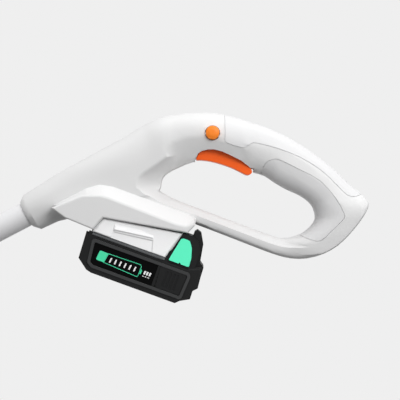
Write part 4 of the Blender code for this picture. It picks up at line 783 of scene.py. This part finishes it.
# The marks: the charge bar's solid end, its box, the box's nose and the strokes in it, then bars and dashes
BLOCK = [(-34.9, 21.4), (-26.9, 21.2), (-28.5, 12.5), (-35.7, 12.6)]
BLOCK_CORNERS = [1.3, 0.0, 0.0, 1.3]
BOX = [(-27.0, 21.3), (2.9, 21.9), (4.3, 20.4), (4.0, 11.4), (3.0, 10.4), (-28.6, 12.3)]
BOX_LINE = 0.5
BOX_END = [(4.5, 18.0), (5.7, 17.4), (5.6, 14.0), (4.4, 13.5)]
BOX_END_CORNER = 0.3
STROKE = [(-23.6, 18.4), (-22.3, 18.5), (-22.8, 14.1), (-24.1, 14.0)]
STROKE_CORNER = 0.2
STROKE_PITCH = 4.5
STROKES = 6
SHORT_BAR = [(8.0, 17.9), (9.5, 17.9), (9.2, 14.7), (7.7, 14.7)]
DASH = [(7.5, 13.3), (9.0, 13.3), (8.9, 12.7), (7.4, 12.7)]
BAR_PITCH = 2.4
BARS = 3

STRIP = [(-46.8, 31.6), (-46.8, 34.7), (21.4, 35.2), (22.2, 31.6)]
TOOTH = [(-46.2, 31.9), (-45.5, 34.9), (-45.0, 34.9), (-45.7, 31.9)]
STRIP_DEPTHS = (29.0, 31.2)
STRIP_TAPER = 1.1
TOOTH_DEPTHS = (30.2, 31.6)
TOOTH_TAPER = 0.12
TOOTH_PITCH = 0.95
TEETH = 69

BUTTON = [(24.2, 33.9), (28.4, 54.6), (30.0, 56.1), (36.2, 56.0), (40.0, 50.6), (42.6, 42.0), (43.2, 34.6),
          (42.2, 33.9)]
BUTTON_RADII = [0.9, 1.6, 1.6, 2.6, 4.0, 4.0, 0.8, 0.6]
BUTTON_DEPTHS = (27.7, 31.1)
BUTTON_EDGE = 0.0009
BUTTON_NOTCH = [(33.6, 32.0), (33.6, 34.9), (35.4, 34.9), (35.4, 32.0)]
NOTCH_CORNER = 0.8
PACK_HALF = 40                 # more than the battery's half width


class TRIMMER_OT_battery(bpy.types.Operator):
    """Models the battery's shells, side panels and release buttons."""

    bl_idname = "trimmer.battery"
    bl_label = "Battery"

    def execute(self, context):
        edge = sizes().shell_edge
        rounded_copy("battery_lower_shell", FINISHES["black"], "black", edge)
        self.upper_shell(edge)
        for side, word in ((-1, "left"), (1, "right")):
            self.panel(side, word)
            self.frame(side, word)
            self.marks(side, word)
            self.ridge(side, word)
            self.release(side, word)
        return {"FINISHED"}

    def upper_shell(self, edge):
        """The pale shell, with a sunk area low on each side and a leaning band above it."""
        node = "battery_upper_shell"
        piece = copy_of(node, node + "_looks")
        bands = []
        for side in (-1, 1):
            carve(piece, plate("area", SHELL_AREA, side * SHELL_SIDE, side * AREA_FLOOR, PACK, AREA_TAPER))
            band = plate("band", SHELL_BAND, side * BAND_START, side * BAND_FACE, taper=BAND_TAPER)
            self.lean(band)
            bands.append(band)
        bands = joined("shell_bands", *bands)
        soften(bands, BAND_EDGE)
        soften(piece, edge)
        place(bands, "battery", "pale", FINISHES["shell"])
        place(piece, BODY_OF[node], "pale", FINISHES["shell"], node)

    def lean(self, band):
        """Leans a band's face into the shell, so that only its lower edge stands proud."""
        low = min(vertex.co.z for vertex in band.data.vertices)
        for vertex in band.data.vertices:
            share = min(1.0, max(0.0, (vertex.co.z - low - LEAN_FROM) / LEAN_OVER))
            if abs(vertex.co.y) > SHELL_CORE:
                vertex.co.y -= math.copysign(LEAN * share, vertex.co.y)
        band.data.transform(PACK)

    def panel(self, side, word):
        """The gloss panel, and the ribbed grip pad behind it."""
        node = "battery_label_" + word
        low, high = span(side, PANEL_FACE - PANEL_DEPTH, PANEL_FACE)
        piece = plate(node + "_looks", rounded(PANEL, PANEL_CORNER), low, high, PACK)
        soften(piece, PANEL_EDGE)
        place(piece, BODY_OF[node], "label", FINISHES["label"], node)
        low, high = span(side, CASE_FACE, PAD_FACE)
        pad = plate("grip_pad_" + word, rounded(PAD, PAD_CORNER), low, high, PACK)
        low, high = span(side, *PAD_GROOVE_DEPTHS)
        for number in range(PAD_GROOVES):
            groove = rounded(shifted(PAD_GROOVE, number * PAD_GROOVE_PITCH), PAD_GROOVE_CORNER)
            carve(pad, plate("groove", groove, low, high, PACK))
        soften(pad, PAD_EDGE)
        place(pad, BODY_OF[node], "black", FINISHES["black"])

    def frame(self, side, word):
        """The smooth rim raised round the panel and the pad."""
        low, high = span(side, CASE_FACE, FRAME_FACE)
        piece = ring("panel_rim_" + word, FRAME, FRAME_WIDTH, low, high, PACK, FRAME_CORNER)
        soften(piece, FRAME_EDGE, segments=4)
        # its finish is the lower shell's black made lighter, a painted highlight
        place(piece, "battery", "black", FINISHES["rim"])

    def marks(self, side, word):
        """Plain printed marks: a charge bar of six strokes in a box, three short bars and three dashes."""
        low, high = span(side, *MARK_DEPTHS)

        def mark(outline, radius=0.0):
            return plate("mark", rounded(outline, radius, steps=4), low, high, PACK)

        green = [mark(BLOCK, BLOCK_CORNERS), ring("mark", BOX, BOX_LINE, low, high, PACK),
                 mark(BOX_END, BOX_END_CORNER)]
        place(joined("panel_mark_" + word, *green), "battery", "mint", FINISHES["mark_green"])
        white = [mark(shifted(STROKE, number * STROKE_PITCH), STROKE_CORNER) for number in range(STROKES)]
        for number in range(BARS):
            white.append(mark(shifted(SHORT_BAR, number * BAR_PITCH), STROKE_CORNER))
            white.append(mark(shifted(DASH, number * BAR_PITCH)))
        place(joined("panel_strokes_" + word, *white), "battery", "white", FINISHES["mark_white"])

    def ridge(self, side, word):
        """The serrated strip between the two shells."""
        inner, outer = STRIP_DEPTHS
        strip = plate("ridge", STRIP, side * inner, side * outer, PACK, STRIP_TAPER)
        inner, outer = TOOTH_DEPTHS
        teeth = plate("tooth", TOOTH, side * inner, side * outer, taper=TOOTH_TAPER)
        repeated(teeth, TEETH, (TOOTH_PITCH * MM, 0.0, 0.0))
        teeth.data.transform(PACK)
        piece = joined("ridge_" + word, strip, teeth)
        smooth(piece)
        # its grey finish is painted highlight on the dark plastic's teeth
        place(piece, "battery", "black", FINISHES["ridge"])

    def release(self, side, word):
        """A release button with a small notch in its lower edge."""
        node = "release_button_" + word
        low, high = span(side, *BUTTON_DEPTHS)
        piece = plate(node + "_looks", rounded(BUTTON, BUTTON_RADII), low, high, PACK)
        notch = rounded(BUTTON_NOTCH, NOTCH_CORNER)
        carve(piece, plate("notch", notch, -PACK_HALF, PACK_HALF, PACK))
        soften(piece, BUTTON_EDGE, segments=4)
        place(piece, BODY_OF[node], "mint", FINISHES["mint"], node)


# The head's own directions at rest: back along the pole, and up, from the tilt axis
POLE_SLOPE = math.radians(-27.5)
HEAD = Matrix.Translation(JOINTS["head_tilt"]["pos_m"]) @ Matrix.Rotation(POLE_SLOPE, 4, "Y")
ALONG_POLE = HEAD @ Matrix.Rotation(math.radians(-90), 4, "Z")
HEAD_FACE = 34.0               # from the middle to the head's sides
VENT = [(-31.0, 4.0), (-33.4, 4.0), (-38.4, 25.0), (-36.0, 25.0)]
VENT_DEPTHS = (29.0, 36.0)
VENT_CORNER = 1.0
VENT_PITCH = 5.6
VENTS = 5
SIDE_AREA = [(-70.0, 19.0), (-97.0, 14.5), (-122.0, 3.0), (-126.0, -3.5), (-65.0, -3.5)]
SIDE_AREA_CORNER = 4.0
SIDE_AREA_DEPTHS = (HEAD_FACE + 0.5, HEAD_FACE - 0.9)
GROOVE_WIDTH = 1.6
GROOVE_SIDES = 64
GROOVE_PAST = 1.0              # how far its cutter stands out
KNUCKLE_R = 16.5
KNUCKLE_GROOVES = (74.0, 79.0, 84.0)
KNUCKLE_GROOVE_DEPTH = 0.9
FOAM_R = 17.0
FOAM_GROOVE_DEPTH = 0.8
FOAM_START = 290.0
FOAM_PITCH = 12.0
FOAM_GROOVES = 13
FOAM_EDGE = 0.0005
PIVOT_R = 4.3
EAR_SEAT = 14.0                # floor of the round seat in the ear, from the middle
PIVOT_CAP = 24.5               # the pivot bolt's cap starts here
PIVOT_WASHERS = (              # radius, start and end
    (6.9, EAR_SEAT, PIVOT_CAP - 1.6),
    (6.2, PIVOT_CAP - 1.7, PIVOT_CAP),
)
WASHER_SIDES = 48
PIVOT_NUT = (16.6, 21.6)       # the nut lies on the other ear
NUT_R = 7.6
NUT_SIDES = 6
NUT_WALL = 2.7


def round_groove(radius, depth, start):
    """A cutter for a groove round the pole, this far back from the tilt axis."""
    outline = circle(radius + GROOVE_PAST, GROOVE_SIDES)
    return ring("groove", outline, depth + GROOVE_PAST, start, start + GROOVE_WIDTH)


class TRIMMER_OT_pole(bpy.types.Operator):
    """Dresses the pole, its foam sleeve and the knuckle that carries the head."""

    bl_idname = "trimmer.pole"
    bl_label = "Pole and knuckle"

    def execute(self, context):
        rounded_copy("pole_tube", FINISHES["pole"], "pole", sizes().metal_edge)
        self.foam()
        self.knuckle()
        return {"FINISHED"}

    def foam(self):
        """The sleeve with shallow moulded rings."""
        piece = copy_of("foam_grip", "foam_grip_looks")
        cutter = round_groove(FOAM_R, FOAM_GROOVE_DEPTH, FOAM_START)
        repeated(cutter, FOAM_GROOVES, (0.0, FOAM_PITCH * MM, 0.0))
        cutter.data.transform(ALONG_POLE)
        carve(piece, cutter)
        soften(piece, FOAM_EDGE)
        place(piece, BODY_OF["foam_grip"], "foam", FINISHES["foam"], "foam_grip")

    def knuckle(self):
        """The knuckle with three turned grooves."""
        piece = copy_of("knuckle", "knuckle_looks")
        for spot in KNUCKLE_GROOVES:
            cutter = round_groove(KNUCKLE_R, KNUCKLE_GROOVE_DEPTH, spot)
            cutter.data.transform(ALONG_POLE)
            carve(piece, cutter)
        soften(piece, sizes().housing_edge)
        place(piece, BODY_OF["knuckle"], "white", FINISHES["white"], "knuckle")


class TRIMMER_OT_head(bpy.types.Operator):
    """Models the vents and sunk areas of the head's halves, and dresses the base cover and the pivot."""

    bl_idname = "trimmer.head"
    bl_label = "Head"

    def execute(self, context):
        edge = sizes().housing_edge
        for side, node in ((-1, "head_housing_left"), (1, "head_housing_right")):
            piece = copy_of(node, node + "_looks")
            inner, outer = VENT_DEPTHS
            for number in range(VENTS):
                vent = rounded(shifted(VENT, -number * VENT_PITCH), VENT_CORNER, steps=4)
                carve(piece, plate("vent", vent, side * inner, side * outer, HEAD))
            start, floor = SIDE_AREA_DEPTHS
            area = rounded(SIDE_AREA, SIDE_AREA_CORNER)
            carve(piece, plate("area", area, side * start, side * floor, HEAD, AREA_TAPER))
            soften(piece, edge)
            place(piece, BODY_OF[node], "white", FINISHES["white"], node)
        rounded_copy("head_base_cover", FINISHES["white"], "white", edge)
        self.pivot()
        return {"FINISHED"}

    def pivot(self):
        """The pivot bolt, the stepped washer under its cap and its nut."""
        rounded_copy("head_pivot_bolt", FINISHES["steel"], "steel", sizes().metal_edge)
        washers = joined("pivot_washers", *(
            ring("washer", circle(radius, WASHER_SIDES), radius - PIVOT_R, -end, -start, HEAD)
            for radius, start, end in PIVOT_WASHERS
        ))
        nut = ring("pivot_nut", circle(NUT_R, NUT_SIDES), NUT_WALL, *PIVOT_NUT, HEAD)
        for piece in (washers, nut):
            soften(piece, sizes().metal_edge)
            place(piece, BODY_OF["head_pivot_bolt"], "steel", FINISHES["motor"])


class TRIMMER_OT_blades(bpy.types.Operator):
    """Dresses the blades, their bar, its bolts and the tip guard."""

    bl_idname = "trimmer.blades"
    bl_label = "Blades"

    def execute(self, context):
        edge = sizes().metal_edge
        for node in ("upper_blade", "lower_blade", "blade_bar"):
            rounded_copy(node, FINISHES["steel"], "steel", edge, segments=2)
        for number in range(1, 5):
            rounded_copy(f"blade_bolt_{number}", FINISHES["steel"], "steel", edge, segments=2)
        rounded_copy("tip_guard", FINISHES["orange"], "orange", sizes().button_edge)
        return {"FINISHED"}


# Springs that are pressed: the joint, the direction, the end that stays, and the share of the length left
SPRINGS = {
    "trigger_spring": ("trigger_pull", (0, 0, 1), (0.096, 0.0, 0.1247), 0.68),
    "release_spring_left": ("release_left_press", (0, 1, 0), (0.0447, -0.0173, 0.0316), 0.74),
    "release_spring_right": ("release_right_press", (0, 1, 0), (0.0447, 0.0173, 0.0316), 0.74),
}


class TRIMMER_OT_inner_parts(bpy.types.Operator):
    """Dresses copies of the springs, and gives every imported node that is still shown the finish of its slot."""

    bl_idname = "trimmer.inner_parts"
    bl_label = "Inner parts"

    def execute(self, context):
        for node, (joint, direction, fixed_end, share) in SPRINGS.items():
            piece = copy_of(node, node + "_looks")
            smooth(piece)
            place(piece, BODY_OF[node], "steel", FINISHES["steel"], node)
            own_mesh(piece)
        for node in NODES.values():
            slot = node.data.materials[0].name.split(".")[0]
            if slot not in FINISHES:
                raise RuntimeError(f"{node.name} has an unknown slot {slot}")
            node.material_slots[0].material = FINISHES[slot]
        return {"FINISHED"}


STEPS = (
    TRIMMER_OT_stage, TRIMMER_OT_finishes, TRIMMER_OT_housing, TRIMMER_OT_trigger,
    TRIMMER_OT_battery, TRIMMER_OT_pole, TRIMMER_OT_head, TRIMMER_OT_blades,
    TRIMMER_OT_inner_parts,
)


class TRIMMER_PT_pieces(bpy.types.Panel):
    """Lists the pieces, the sizes and the colours."""

    bl_label = "Trimmer"
    bl_space_type = "VIEW_3D"
    bl_region_type = "UI"
    bl_category = "Trimmer"

    def draw(self, context):
        for step in STEPS:
            self.layout.operator(step.bl_idname)
        for group in (context.scene.trimmer_sizes, context.scene.trimmer_colours):
            for choice in group.bl_rna.properties:
                if choice.identifier not in ("rna_type", "name"):
                    self.layout.prop(group, choice.identifier)


CLASSES = (TrimmerColours, TrimmerSizes, *STEPS, TRIMMER_PT_pieces)


def register():
    for item in CLASSES:
        bpy.utils.register_class(item)
    bpy.types.Scene.trimmer_colours = PointerProperty(type=TrimmerColours)
    bpy.types.Scene.trimmer_sizes = PointerProperty(type=TrimmerSizes)


def unregister():
    del bpy.types.Scene.trimmer_sizes
    del bpy.types.Scene.trimmer_colours
    for item in reversed(CLASSES):
        bpy.utils.unregister_class(item)


def main():
    """Builds everything in order."""
    register()
    for step in STEPS:
        group, action = step.bl_idname.split(".")
        getattr(getattr(bpy.ops, group), action)()


if __name__ == "__main__":
    main()
